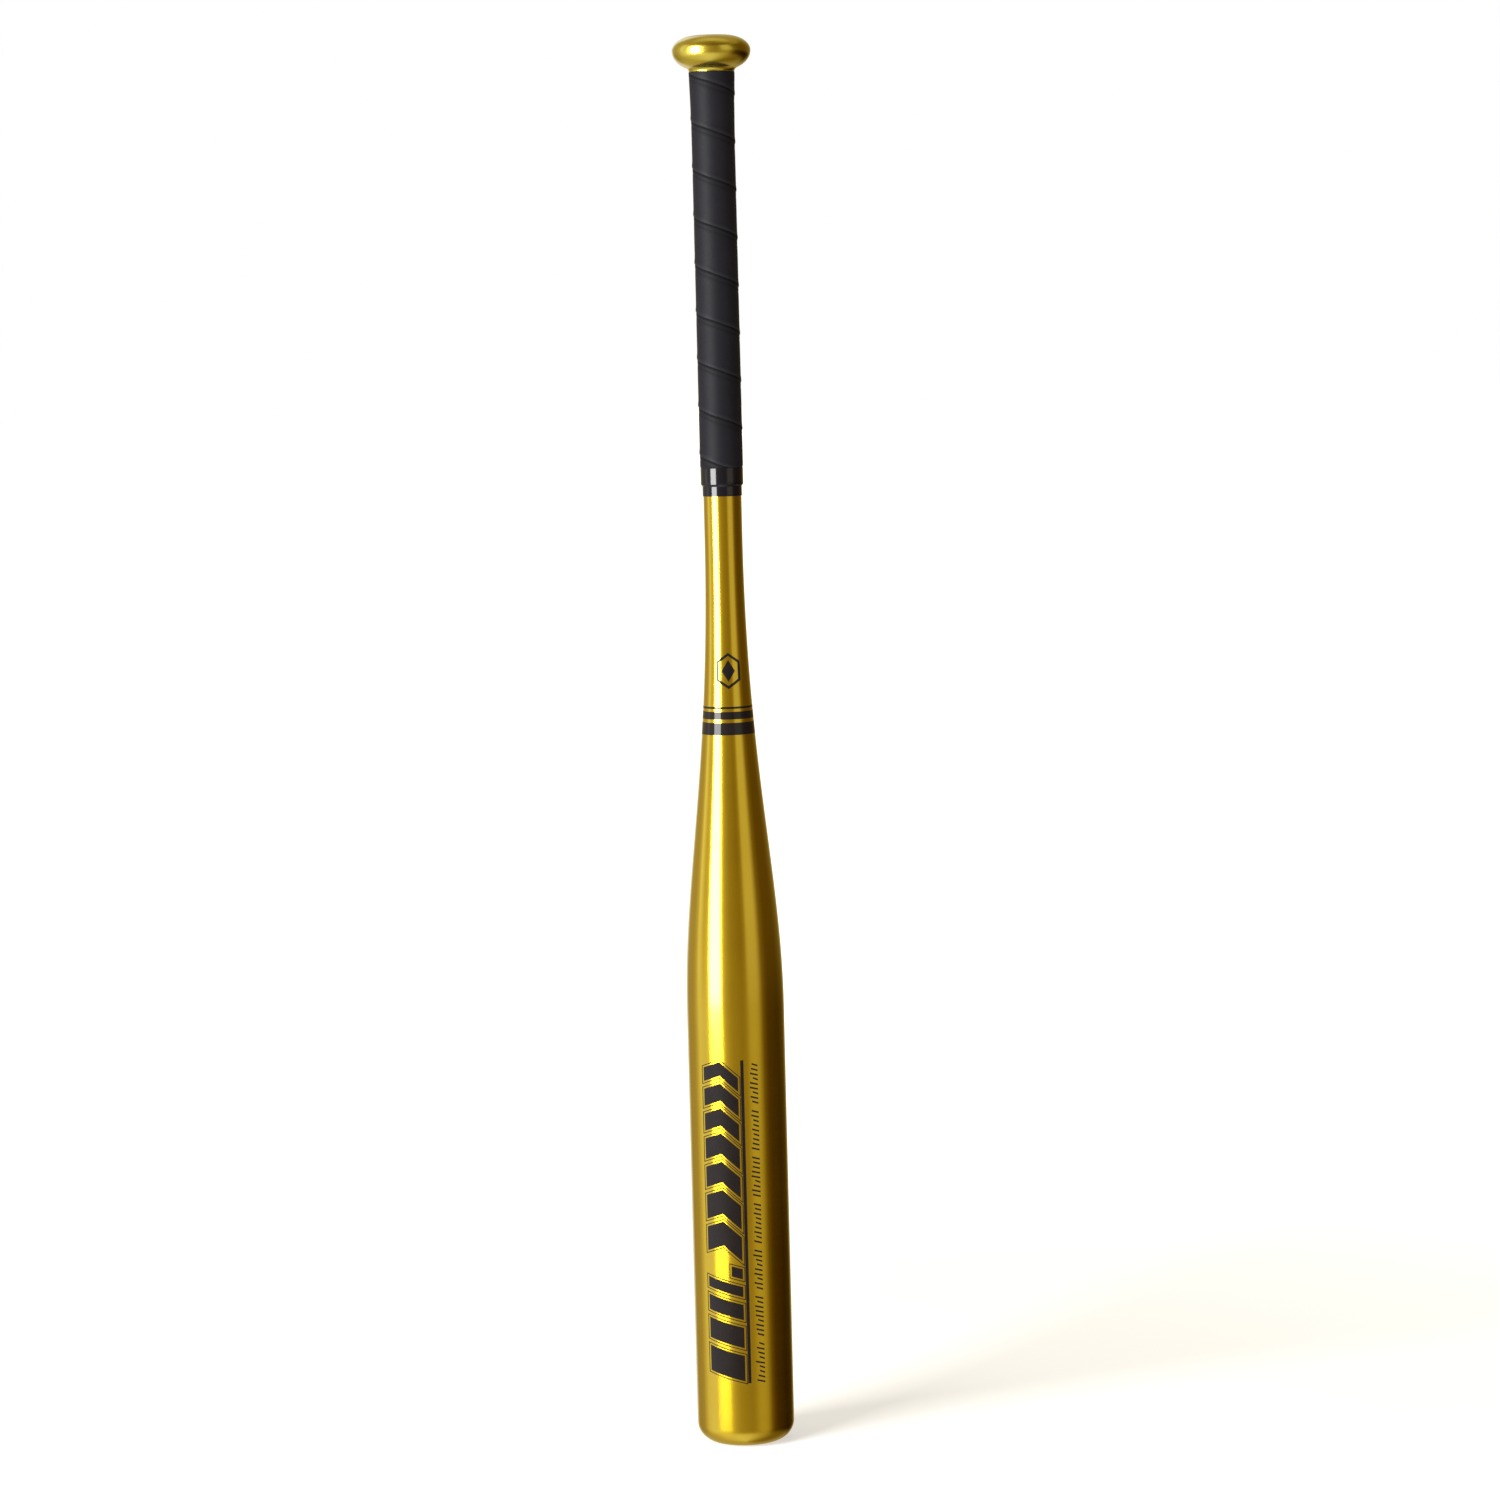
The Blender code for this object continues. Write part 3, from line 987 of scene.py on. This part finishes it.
@dataclass
class Grip(SubAssembly):
    """The strip wound on the handle from the knob down, and the vinyl tape that holds its end."""

    tube: Tube = field(repr=False)
    pitch: float = 27.1 * MM
    seam_at_front: float = 758.7 * MM
    under_strip: float = 11.4 * MM
    thickness: float = 0.9 * MM
    lip: float = 0.28 * MM
    dip: float = 0.12 * MM
    ripple: float = 0.07 * MM
    wander: float = 0.35 * MM
    columns: int = 40
    steps: int = 96
    weld: float = 3e-6
    rim_slack: float = 1e-5
    wave_stretch: float = 22.0
    wave_scale: float = 1.3
    bulge_stretch: float = 60.0
    bulge_scale: float = 2.2
    sharp: float = 50.0
    lip_rise: tuple[Point, ...] = (
        (0.0, 0.0), (0.012, 0.0), (0.50, 0.06), (0.82, 0.10),
        (0.93, 0.62), (0.982, 1.0), (0.995, 0.75), (1.0, 0.0),
    )
    lap_hollow: tuple[Point, ...] = (
        (0.0, 0.0), (0.04, 0.35), (0.085, 0.30), (0.118, 1.0),
        (0.15, 0.45), (0.24, 0.12), (0.40, 0.0), (1.0, 0.0),
    )
    # How strong the painted shade is across the strip: full at both edges, where the laps meet, with a second
    # soft band below, and gone past about a fifth of the width.
    seam_shade: tuple[Point, ...] = (
        (0.0, 1.0), (0.030, 0.85), (0.060, 0.18), (0.095, 0.10), (0.120, 0.50),
        (0.150, 0.18), (0.22, 0.0), (0.996, 0.0), (1.0, 1.0),
    )
    lip_rub: tuple[Point, ...] = ((0.0, 0.0), (0.90, 0.0), (0.975, 1.0), (0.992, 0.8), (1.0, 0.0))
    tape_step: float = 557.6 * MM
    tape_thickness: float = 0.2 * MM
    tape_play: float = 0.15 * MM
    tape_edge: float = 0.12 * MM
    tape_hold: float = 0.6 * MM
    tape_brow: float = 0.5 * MM
    tape_tuck: float = 0.3 * MM
    tape_toe: float = 0.4 * MM
    tape_blend: float = 1.4 * MM
    tape_release: float = 0.6 * MM
    tape_segments: int = 160

    def build(self) -> None:
        """Build the wound strip and the tape, and dress the tape under the strip."""
        self.build_strip()
        self.build_tape()
        low, high = (0.55, 0.54, 0.50), (0.78, 0.77, 0.73)
        cloth = PlainFinish("backing_cloth", low, high, roughness=0.75, scale=600.0, depth=40e-6, weave=True)
        self.dress("grip_backing_tape", cloth)

    def strip_tree(self, top: float, bottom: float, material: bpy.types.Material) -> GeometryBench:
        """Make the tree that winds the strip.

        A grid has the strip's length along its rows and its width along its columns. Each turn's lower edge
        ends where the upper edge of the turn below begins, so the turns weld into one skin with a step that
        spirals down it.

        Args:
            top: the height at which the winding is cut at the knob.
            bottom: the height at which it is cut under the tape.
            material: the grip's finish.

        Returns:
            The tree.
        """
        above = math.ceil((top - self.seam_at_front) / self.pitch) + 1
        start = self.seam_at_front + above * self.pitch
        turns = math.ceil((start - bottom) / self.pitch)
        _, tape_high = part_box("finishing_tape")
        inputs = {
            "Rows": turns * self.steps + 1,
            "Columns": self.columns + 1,
            "Steps per Turn": self.steps,
            "Pitch": self.pitch,
            "Start Height": start,
            "Strip Radius": self.under_strip + self.thickness,
            "Lip": self.lip,
            "Dip": self.dip,
            "Ripple": self.ripple,
            "Wander": self.wander,
            "Flare": self.tube.flare,
            "Flare Start": self.tube.flare_start,
            "Flare Length": self.tube.top - self.tube.flare_start,
            "Tape Radius": tape_high.x - self.tape_thickness - self.tape_edge,
            "Tape Top": tape_high.z,
            "Tape Blend": self.tape_blend,
            "Tape Release": self.tape_release,
            "Wave Stretch": self.wave_stretch,
            "Wave Scale": self.wave_scale,
            "Bulge Stretch": self.bulge_stretch,
            "Bulge Scale": self.bulge_scale,
            "Weld Distance": self.weld,
            "Material": material,
        }
        bench = GeometryBench("wound_strip", inputs)
        given = bench.given
        size = {"Vertices X": given("Rows"), "Vertices Y": given("Columns")}
        grid = bench.node("GeometryNodeMeshGrid", None, size).outputs["Mesh"]
        number = bench.signal("GeometryNodeInputIndex")
        row = (number / given("Columns") + FLOOR_GUARD).floor()
        share = (number - row * given("Columns")) / (given("Columns") - 1.0)
        across = 0.5 - (share * math.pi).cosine() * 0.5
        turn_count = row / given("Steps per Turn")
        angle = turn_count * math.tau
        level = given("Start Height") - given("Pitch") * (turn_count + across)
        facing, side = angle.sine(), 0.0 - angle.cosine()
        noises = []
        for kind, detail in (("Wave", 1.0), ("Bulge", 2.0)):
            place = bench.join(facing, side, level * given(f"{kind} Stretch"))
            values = {"Vector": place, "Scale": given(f"{kind} Scale"), "Detail": detail}
            noises.append(bench.signal("ShaderNodeTexNoise", None, values))
        waves, bulges = noises
        edge = bench.curve(across, self.lip_rise, (0, len(self.lip_rise) - 1))
        hollow = bench.curve(across, self.lap_hollow)
        swell = ((level - given("Flare Start")) / given("Flare Length")).at_least(0.0) ** 3.0
        radius = given("Strip Radius") + given("Lip") * edge - given("Dip") * hollow + given("Flare") * swell
        radius = radius + (bulges - 0.5) * given("Ripple")
        past = (level - given("Tape Top")) / given("Tape Blend")
        held = given("Tape Radius") + past.at_least(0.0).at_most(2.0) * given("Tape Release")
        radius = radius.at_most(held)
        level = level + (waves - 0.5) * given("Wander") * 2.0
        wound = bench.moved(grid, bench.join(radius * facing, radius * side, level))
        # Stored for the grip's finish: the painted shade below each lap's step, and where the lip is rubbed
        # lighter.
        for name, points in (("painted_seam_shade", self.seam_shade), ("lip", self.lip_rub)):
            shade = bench.curve(across, points, (0, len(points) - 1))
            stored = {"Geometry": wound, "Name": name, "Value": shade}
            settings = {"data_type": "FLOAT", "domain": "POINT"}
            wound = bench.node("GeometryNodeStoreNamedAttribute", settings, stored).outputs[0]
        welded = {"Geometry": wound, "Distance": given("Weld Distance")}
        bench.end(bench.node("GeometryNodeMergeByDistance", None, welded).outputs[0])
        return bench

    def build_strip(self) -> None:
        """Build the wound strip, cut square at both ends and hollow for the handle."""
        low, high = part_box("grip_wrap")
        piece = self.strip_tree(high.z, low.z, GripSkin().make()).make("wound_grip")
        shape = bmesh.new()
        shape.from_mesh(piece.data)
        for height, outwards in ((high.z, 1.0), (low.z, -1.0)):
            cut(shape, (0.0, 0.0, height), (0.0, 0.0, outwards), clear_outer=True)
        bmesh.ops.remove_doubles(shape, verts=shape.verts, dist=WELD_SLACK)
        rims = []
        for height in (high.z, low.z):
            rim = [edge for edge in shape.edges if edge.is_boundary and self.ends_at(edge, height)]
            made = bmesh.ops.extrude_edge_only(shape, edges=rim)["geom"]
            for vertex in (v for v in made if isinstance(v, bmesh.types.BMVert)):
                bore = self.under_strip + self.tube.swell(height)
                vertex.co.xy = vertex.co.xy.normalized() * bore
            rims += [e for e in made if isinstance(e, bmesh.types.BMEdge) and e.is_boundary]
        bmesh.ops.bridge_loops(shape, edges=rims)
        shape.to_mesh(piece.data)
        shape.free()
        close_and_smooth(piece, self.sharp)
        self.adopt(piece, Slot.GRIP, "grip_wrap")

    def ends_at(self, edge: bmesh.types.BMEdge, height: float) -> bool:
        """Say whether both ends of an edge lie at a height."""
        return all(abs(vertex.co.z - height) < self.rim_slack for vertex in edge.verts)

    def build_tape(self) -> None:
        """Build the vinyl tape: one layer on the grip's end, a soft step, and one layer on the metal."""
        low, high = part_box("finishing_tape")
        inner = self.tube.handle_radius + self.tape_play
        lower, upper = inner + self.tape_thickness, high.x
        under, soft = upper - self.tape_thickness, self.tape_edge
        step, foot = self.tape_step, self.tape_step - self.thickness
        brow = step + self.tape_brow
        outer = arc((upper - soft, high.z - soft), soft, soft, 90, 0, 5)
        outer += line((upper, high.z - self.tape_hold), (upper, brow), 4)
        outer += bezier([(upper, brow), (upper, step), (lower, foot + self.tape_toe), (lower, foot)], 10)[1:]
        outer += line((lower, foot - self.tape_tuck), (lower, low.z + soft), 4)
        outer += arc((lower - soft, low.z + soft), soft, soft, 0, -90, 5)[1:]
        inside = [(inner, low.z), (inner, foot), (under, step + self.tape_tuck), (under, high.z)]
        piece = turn("end_tape", outer + inside, GlossVinyl().make(), self.tape_segments)
        self.adopt(piece, Slot.VINYL, "finishing_tape")


class BlockKind(Enum):
    """The shapes in the printed band, as (along, across) corners; along counts lengths and points."""

    BAR = ((0, 0, 0.0), (1, 0, 0.0), (1, 0, 1.0), (0, 0, 1.0))
    CHEVRON = ((0, 0, 0.0), (1, 0, 0.0), (1, 1, 0.5), (1, 0, 1.0), (0, 0, 1.0), (0, 1, 0.5))
    PAD = ((0, 0, 0.0), (1, 0, 0.0), (1, 0, 0.3), (0, 0, 0.3))


@dataclass
class Prints(SubAssembly):
    """What is printed on the tube: three rings, a plain badge, and a band of slanted blocks on the barrel."""

    tube: Tube = field(repr=False)
    ink: bpy.types.Material = field(repr=False)
    lift: float = 0.015 * MM
    film: float = 0.035 * MM
    strip: float = 1.0 * MM
    rings: tuple[Point, ...] = (
        (414.5 * MM, 421.5 * MM),
        (423.5 * MM, 427.8 * MM),
        (429.5 * MM, 430.7 * MM),
    )
    badge_height: float = 451.3 * MM
    badge_half: Point = (7.2 * MM, 10.4 * MM)
    badge_shift: float = 0.9 * MM
    badge_border: float = 1.5 * MM
    badge_shoulder: float = 0.52
    lozenge_share: Pair = (0.54, 0.60)
    band_bottom: float = 40.2 * MM
    band_base: float = 0.5 * MM
    band_top: float = -21.0 * MM
    slant: float = 5.6 * MM
    gap: float = 4.5 * MM
    point: float = 6.5 * MM
    line_gap: float = 0.9 * MM
    line_width: float = 0.48 * MM
    rule: Point = (2.05 * MM, 3.9 * MM)
    rule_ends: Point = (39.0 * MM, 228.0 * MM)
    ticks_base: float = 12.3 * MM
    tick: Point = (5.5 * MM, 1.0 * MM)
    tick_pitch: float = 2.72 * MM
    tick_lean: float = 0.25
    tick_shortest: float = 0.55
    tick_count: int = 70
    tick_group: float = 10.0
    tick_kept: float = 8.5
    tick_seed: int = 7
    tick_cuts: int = 7
    ring_cuts: int = 8
    weld: float = 1e-6
    blocks: tuple[tuple[BlockKind, float], ...] = (
        (BlockKind.BAR, 15 * MM),
        (BlockKind.BAR, 12 * MM),
        (BlockKind.BAR, 9 * MM),
        (BlockKind.BAR, 6 * MM),
        (BlockKind.PAD, 6 * MM),
        (BlockKind.CHEVRON, 14 * MM),
        (BlockKind.CHEVRON, 14 * MM),
        (BlockKind.CHEVRON, 12 * MM),
        (BlockKind.CHEVRON, 12 * MM),
        (BlockKind.CHEVRON, 10 * MM),
        (BlockKind.CHEVRON, 10 * MM),
        (BlockKind.CHEVRON, 8 * MM),
    )

    def build(self) -> None:
        """Build every print."""
        for number, (bottom, top) in enumerate(self.rings, start=1):
            self.build_ring(f"print_ring_{number}", bottom, top)
        self.build_badge()
        self.build_band()
        self.build_rule()
        self.build_ticks()

    def build_ring(self, name: str, bottom: float, top: float) -> None:
        """Build a printed ring that follows the taper.

        Args:
            name: its name.
            bottom: its lower edge's height.
            top: its upper edge's height.
        """
        heights = [top + (bottom - top) * share for share in spaced(self.ring_cuts)]
        outer = [(self.tube.radius(z) + self.lift + self.film, z) for z in heights]
        inner = [(self.tube.radius(z) + self.lift, z) for z in reversed(heights)]
        self.adopt(turn(name, outer + inner, self.ink, self.tube.segments), Slot.PRINT)

    def wrap_tree(self, name: str, centre: float, more: dict[str, float] | None = None) -> GeometryBench:
        """Make the tree that wraps a flat print round the tube.

        In the flat print, X runs round the tube, Z along it, and Y is the height above the metal. The tube's
        radius is a parabola in the height, which fits the straight barrel and a short stretch of the taper.

        Args:
            name: the tree's name.
            centre: the height at which the print's curve is measured.
            more: further named inputs.

        Returns:
            The tree, without its nodes for the result.
        """
        reach = self.badge_half[1]
        low, mid, high = (self.tube.radius(centre + d) for d in (-reach, 0.0, reach))
        inputs = {
            "Centre": centre,
            "Radius": mid + self.lift,
            "Slope": (high - low) / (2 * reach),
            "Bend": (high + low - 2 * mid) / (2 * reach**2),
            "Material": self.ink,
            **(more or {}),
        }
        return GeometryBench(name, inputs)

    def wrap(self, bench: GeometryBench, flat: bpy.types.NodeSocket) -> None:
        """Add the wrapping nodes to a tree and end it.

        Args:
            bench: the tree.
            flat: the flat print.
        """
        x, y, z = bench.split(bench.node("GeometryNodeInputPosition").outputs[0])
        up = z - bench.given("Centre")
        radius = bench.given("Radius") + up * bench.given("Slope") + up * up * bench.given("Bend")
        angle = x / bench.given("Radius")
        out = radius + y
        bench.end(bench.moved(flat, bench.join(out * angle.sine(), 0.0 - out * angle.cosine(), z)))

    def print_flat(self, name: str, shapes: list[list[Point]], centre: float) -> None:
        """Print flat shapes on the tube.

        Args:
            name: the piece's name.
            shapes: polygons of (round the tube, along the tube) points, none of which overlap.
            centre: the height at which the print's curve is measured.
        """
        shape = bmesh.new()
        for corners in shapes:
            shape.faces.new([shape.verts.new((x, 0.0, z)) for x, z in corners])
        bmesh.ops.remove_doubles(shape, verts=shape.verts, dist=self.weld)
        reach = [x for corners in shapes for x, _ in corners]
        left, right = min(reach), max(reach)
        for number in range(1, math.ceil((right - left) / self.strip)):
            cut(shape, (left + number * self.strip, 0.0, 0.0), (1.0, 0.0, 0.0))
        bmesh.ops.solidify(shape, geom=shape.faces[:], thickness=self.film)
        lowest = min(vertex.co.y for vertex in shape.verts)
        bmesh.ops.translate(shape, verts=shape.verts, vec=(0.0, -lowest, 0.0))
        flat = bpy.data.meshes.new(name)
        shape.to_mesh(flat)
        shape.free()
        bench = self.wrap_tree(name, centre)
        self.wrap(bench, bench.entry.outputs["Geometry"])
        piece = bench.make(name, flat)
        close_and_smooth(piece)
        self.adopt(piece, Slot.PRINT)

    def frame_of(self, corners: list[Point], near: float, far: float) -> list[list[Point]]:
        """Give the four-sided pieces of a line round a polygon.

        Args:
            corners: the polygon, anticlockwise.
            near: how far outside it the line begins.
            far: how far outside it the line ends.

        Returns:
            One polygon for each side.
        """
        inner, outer = offset_outline(corners, near), offset_outline(corners, far)
        count = len(corners)
        return [[inner[k], outer[k], outer[(k + 1) % count], inner[(k + 1) % count]] for k in range(count)]

    def build_badge(self) -> None:
        """Build the plain badge: a long six-sided border round a solid lozenge."""
        width, height = self.badge_half
        across, along = self.lozenge_share[0] * width, self.lozenge_share[1] * height
        shoulder = self.badge_shoulder * height
        right = [(0.0, -height), (width, -shoulder), (width, shoulder)]
        left = [(0.0, height), (-width, shoulder), (-width, -shoulder)]
        border, lozenge = (
            [(self.badge_shift + x, self.badge_height + z) for x, z in corners]
            for corners in (right + left, [(0.0, -along), (across, 0.0), (0.0, along), (-across, 0.0)])
        )
        shapes = self.frame_of(border, -self.badge_border, 0.0) + [lozenge]
        self.print_flat("print_badge", shapes, self.badge_height)

    def build_band(self) -> None:
        """Build the band of slanted blocks, each with a thin line round it."""
        place = self.band_bottom
        solid, lines = [], []
        for kind, length in self.blocks:
            corners = []
            for lengths, points, across in kind.value:
                x = self.band_base + (self.band_top - self.band_base) * across
                along = place + lengths * length + points * self.point + across * self.slant
                corners.append((x, along))
            solid.append(corners)
            lines += self.frame_of(corners, self.line_gap, self.line_gap + self.line_width)
            place += length + self.gap
        self.print_flat("print_blocks", solid, self.band_bottom)
        self.print_flat("print_block_lines", lines, self.band_bottom)

    def build_rule(self) -> None:
        """Build the rule beside the band."""
        (left, right), (bottom, top) = self.rule, self.rule_ends
        corners = [(left, bottom), (right, bottom), (right, top), (left, top)]
        self.print_flat("print_rule", [corners], self.band_bottom)

    def build_ticks(self) -> None:
        """Build the row of slanted ticks beside the rule, in groups and of uneven heights."""
        more = {
            "Count": self.tick_count,
            "Pitch": self.tick_pitch,
            "Tick Height": self.tick[0],
            "Tick Width": self.tick[1],
            "Lean": self.tick_lean,
            "Film": self.film,
            "Group": self.tick_group,
            "Kept in Group": self.tick_kept,
            "Shortest": self.tick_shortest,
            "Base": self.ticks_base,
            "Start": self.rule_ends[0] + self.tick[1],
            "Cuts": self.tick_cuts,
            "Seed": self.tick_seed,
        }
        bench = self.wrap_tree("print_ticks", self.band_bottom, more)
        given = bench.given
        step = bench.join(0.0, 0.0, given("Pitch"))
        start = bench.join(given("Base"), 0.0, given("Start"))
        row = {"Count": given("Count"), "Start Location": start, "Offset": step}
        spots = bench.node("GeometryNodeMeshLine", None, row).outputs[0]
        size = bench.join(given("Tick Height"), given("Film"), given("Tick Width"))
        counts = {"Size": size, "Vertices X": given("Cuts"), "Vertices Y": 2, "Vertices Z": 2}
        slab = bench.node("GeometryNodeMeshCube", None, counts).outputs["Mesh"]
        x, y, z = bench.split(bench.node("GeometryNodeInputPosition").outputs[0])
        lean = bench.join(x - given("Tick Height") * 0.5, y + given("Film") * 0.5, z - x * given("Lean"))
        leaning = bench.moved(slab, lean)
        number = bench.signal("GeometryNodeInputIndex")
        place_in_group = number - (number / given("Group") + FLOOR_GUARD).floor() * given("Group")
        limits = {0: place_in_group, 1: given("Kept in Group")}
        kept = bench.signal("FunctionNodeCompare", {"operation": "LESS_THAN"}, limits)
        chances = {"Min_001": given("Shortest"), "Max_001": 1.0, "Seed": given("Seed")}
        scale = bench.join(bench.signal("FunctionNodeRandomValue", None, chances, 1), 1.0, 1.0)
        inputs = {"Points": spots, "Instance": leaning, "Scale": scale, "Selection": kept}
        ticks = bench.node("GeometryNodeInstanceOnPoints", None, inputs).outputs[0]
        real = bench.node("GeometryNodeRealizeInstances", None, {"Geometry": ticks}).outputs[0]
        self.wrap(bench, real)
        piece = bench.make("print_ticks")
        close_and_smooth(piece)
        self.adopt(piece, Slot.PRINT)


# The studio


@dataclass
class Studio:
    """A white floor, a tall soft box at the left, a weaker room round the bat, and the camera."""

    distance: float = 2.6
    eye_height: float = 0.6546
    side: float = 0.0122
    pitch_down: float = 5.5
    lean: float = 1.44
    lens: float = 108.65
    sensor: float = 36.0
    floor_size: float = 60.0
    floor_grain: float = 3.0
    floor_tones: tuple[Colour, Colour] = ((0.78, 0.78, 0.78), (0.80, 0.80, 0.80))
    glow_tones: tuple[Colour, Colour] = ((0.50, 0.515, 0.56), (0.98, 0.98, 1.0))
    glow_range: Pair = (0.3, 1.4)
    key_azimuth: float = -48.0
    key_width: float = 30.0
    key_distance: float = 1.6
    key_bottom: float = 0.03
    key_top: float = 1.8
    key_radiance: float = 12.0
    # The powers of the room's brightness in red, green and blue, which make its dark parts warm.
    warmth: Colour = (1.0, 1.25, 2.3)
    # Each wall of the room, from the floor up, as azimuths round the bat with their brightness.
    floor_room: tuple[Point, ...] = (
        (-180, 0.50), (-110, 0.50), (-70, 0.70), (-20, 0.85), (10, 0.80), (45, 0.50), (80, 0.22),
        (120, 0.18), (180, 0.50),
    )
    lower_room: tuple[Point, ...] = (
        (-180, 0.45), (-170, 0.80), (-158, 0.80), (-150, 0.40), (-144, 0.34), (-116, 0.42), (-97, 0.76),
        (-81, 0.90), (-66, 0.80), (-34, 0.56), (-24, 0.46), (-8, 0.36), (17, 0.31), (29, 0.36),
        (44, 0.43), (56, 0.38), (69, 0.12), (81, 0.04), (120, 0.01), (147, 0.04), (165, 0.35),
        (180, 0.45),
    )
    upper_room: tuple[Point, ...] = (
        (-180, 0.50), (-170, 0.90), (-158, 0.90), (-150, 0.50), (-144, 0.44), (-116, 0.46), (-103, 0.62),
        (-97, 1.0), (-89, 0.80), (-81, 0.55), (-66, 0.55), (-34, 0.62), (-24, 0.48), (-8, 0.34),
        (17, 0.25), (26, 0.31), (33, 0.66), (55, 0.66), (68, 0.22), (84, 0.13), (118, 0.13),
        (147, 0.22), (165, 0.42), (180, 0.50),
    )
    high_room: tuple[Point, ...] = (
        (-180, 0.40), (-90, 0.40), (-30, 0.18), (20, 0.13), (60, 0.20), (100, 0.34), (180, 0.40),
    )
    ceiling: tuple[Point, ...] = (
        (-180, 0.66), (-115, 0.55), (-60, 0.32), (30, 0.22), (80, 0.42), (110, 0.55), (180, 0.66),
    )

    def build(self) -> None:
        """Build the studio."""
        bpy.context.scene.view_settings.view_transform = "Standard"
        self.build_floor()
        self.build_key()
        self.build_room()
        self.build_camera()

    def toward(self, azimuth: float, distance: float, height: float) -> Vector:
        """Give a point round the bat, with azimuth 0 in front of it and 90 at its right."""
        angle = math.radians(azimuth)
        return Vector((distance * math.sin(angle), -distance * math.cos(angle), height))

    def build_floor(self) -> None:
        """Build the floor: white, and open from below."""
        half = self.floor_size / 2
        mesh = bpy.data.meshes.new("floor")
        corners = [(-half, -half, 0.0), (half, -half, 0.0), (half, half, 0.0), (-half, half, 0.0)]
        mesh.from_pydata(corners, [], [(0, 1, 2, 3)])
        floor = add_piece("floor", mesh)
        bench = ShaderBench("floor_white")
        tree = bench.tree
        bench.set(Roughness=0.9, Specular_IOR_Level=0.0, Emission_Strength=1.0)
        away = bench.signal("ShaderNodeVectorMath", {"operation": "LENGTH"}, {0: bench.place}, "Value")
        glow = bench.blend(away.rise(*self.glow_range), *self.glow_tones)
        bench.set(Emission_Color=glow)
        bench.set(Base_Color=bench.blend(bench.noise(self.floor_grain, 2.0), *self.floor_tones))
        clear = bench.node("ShaderNodeBsdfTransparent").outputs[0]
        below = bench.signal("ShaderNodeNewGeometry", None, None, "Backfacing")
        mixed = bench.node("ShaderNodeMixShader", None, {0: below, 1: bench.shader.outputs[0], 2: clear})
        tree.links.new(mixed.outputs[0], tree.nodes["Material Output"].inputs["Surface"])
        mesh.materials.append(bench.material)
        floor.visible_glossy = False

    def build_key(self) -> None:
        """Build the tall soft box in front of the bat at its left."""
        light = bpy.data.lights.new("key_softbox", "AREA")
        light.shape = "RECTANGLE"
        light.size = 2 * self.key_distance * math.tan(math.radians(self.key_width / 2))
        light.size_y = self.key_top - self.key_bottom
        light.energy = self.key_radiance * light.size * light.size_y * math.pi
        box = bpy.data.objects.new("key_softbox", light)
        bpy.context.scene.collection.objects.link(box)
        box.location = self.toward(self.key_azimuth, self.key_distance, (self.key_top + self.key_bottom) / 2)
        aim = Vector((-box.location.x, -box.location.y, 0.0))
        box.rotation_euler = aim.to_track_quat("-Z", "Y").to_euler()
        box.visible_camera = False

    def ramp(self, bench: Bench, place: Signal, stops: tuple[Point, ...]) -> bpy.types.NodeSocket:
        """Add a ramp of brightness round the bat.

        Args:
            bench: the tree.
            place: the azimuth as a share of the full turn.
            stops: azimuths in degrees, each with its brightness.

        Returns:
            The ramp's colour.
        """
        node = bench.node("ShaderNodeValToRGB", None, {0: place})
        elements = node.color_ramp.elements
        while len(elements) < len(stops):
            elements.new(0.5)
        for element, (azimuth, bright) in zip(elements, stops):
            element.position = azimuth / 360 + 0.5
            element.color = (*(bright**power for power in self.warmth), 1.0)
        return node.outputs[0]

    def build_room(self) -> None:
        """Build the room's light: white where the camera looks, and uneven walls for what the bat mirrors."""
        world = bpy.data.worlds.new("room")
        bpy.context.scene.world = world
        world.use_nodes = True
        bench = Bench(world.node_tree)
        x, y, z = bench.split(bench.node("ShaderNodeTexCoord").outputs["Generated"])
        share = x.angle_from(0.0 - y) / math.tau + 0.5
        walls = self.ramp(bench, share, self.floor_room)
        for low, high, stops in (
            (-0.65, -0.42, self.lower_room),
            (-0.20, -0.05, self.upper_room),
            (0.62, 0.70, self.high_room),
            (0.84, 0.92, self.ceiling),
        ):
            wall = self.ramp(bench, share, stops)
            inputs = {"Factor_Float": z.rise(low, high), "A_Color": walls, "B_Color": wall}
            node = bench.node("ShaderNodeMix", {"data_type": "RGBA"}, inputs)
            walls = next(out for out in node.outputs if out.identifier == "Result_Color")
        mirrored, seen = (
            bench.node("ShaderNodeBackground", None, {"Color": colour, "Strength": 1.0}).outputs[0]
            for colour in (walls, (1.0, 1.0, 1.0, 1.0))
        )
        camera = bench.signal("ShaderNodeLightPath", None, None, "Is Camera Ray")
        mixed = bench.node("ShaderNodeMixShader", None, {0: camera, 1: mirrored, 2: seen}).outputs[0]
        world.node_tree.links.new(mixed, world.node_tree.nodes["World Output"].inputs["Surface"])

    def build_camera(self) -> None:
        """Build the camera: a long lens a little above the bat's middle, tipped down and slightly leaning."""
        camera = bpy.data.objects.new("camera", bpy.data.cameras.new("camera"))
        bpy.context.scene.collection.objects.link(camera)
        camera.data.lens = self.lens
        camera.data.sensor_width = self.sensor
        tilt = Matrix.Rotation(math.radians(90.0 - self.pitch_down), 4, "X")
        roll = Matrix.Rotation(math.radians(-self.lean), 4, "Z")
        camera.matrix_world = Matrix.Translation((self.side, -self.distance, self.eye_height)) @ tilt @ roll
        bpy.context.scene.camera = camera


def main() -> None:
    """Load the frame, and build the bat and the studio."""
    logging.basicConfig(level=logging.INFO, format="%(name)s: %(message)s")
    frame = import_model()
    tube = Tube(frame)
    ink = PrintedInk().make()
    for assembly in (tube, Knob(frame), BarrelEnd(frame), Grip(frame, tube), Prints(frame, tube, ink)):
        assembly.build()
    Studio().build()


if __name__ == "__main__":
    main()
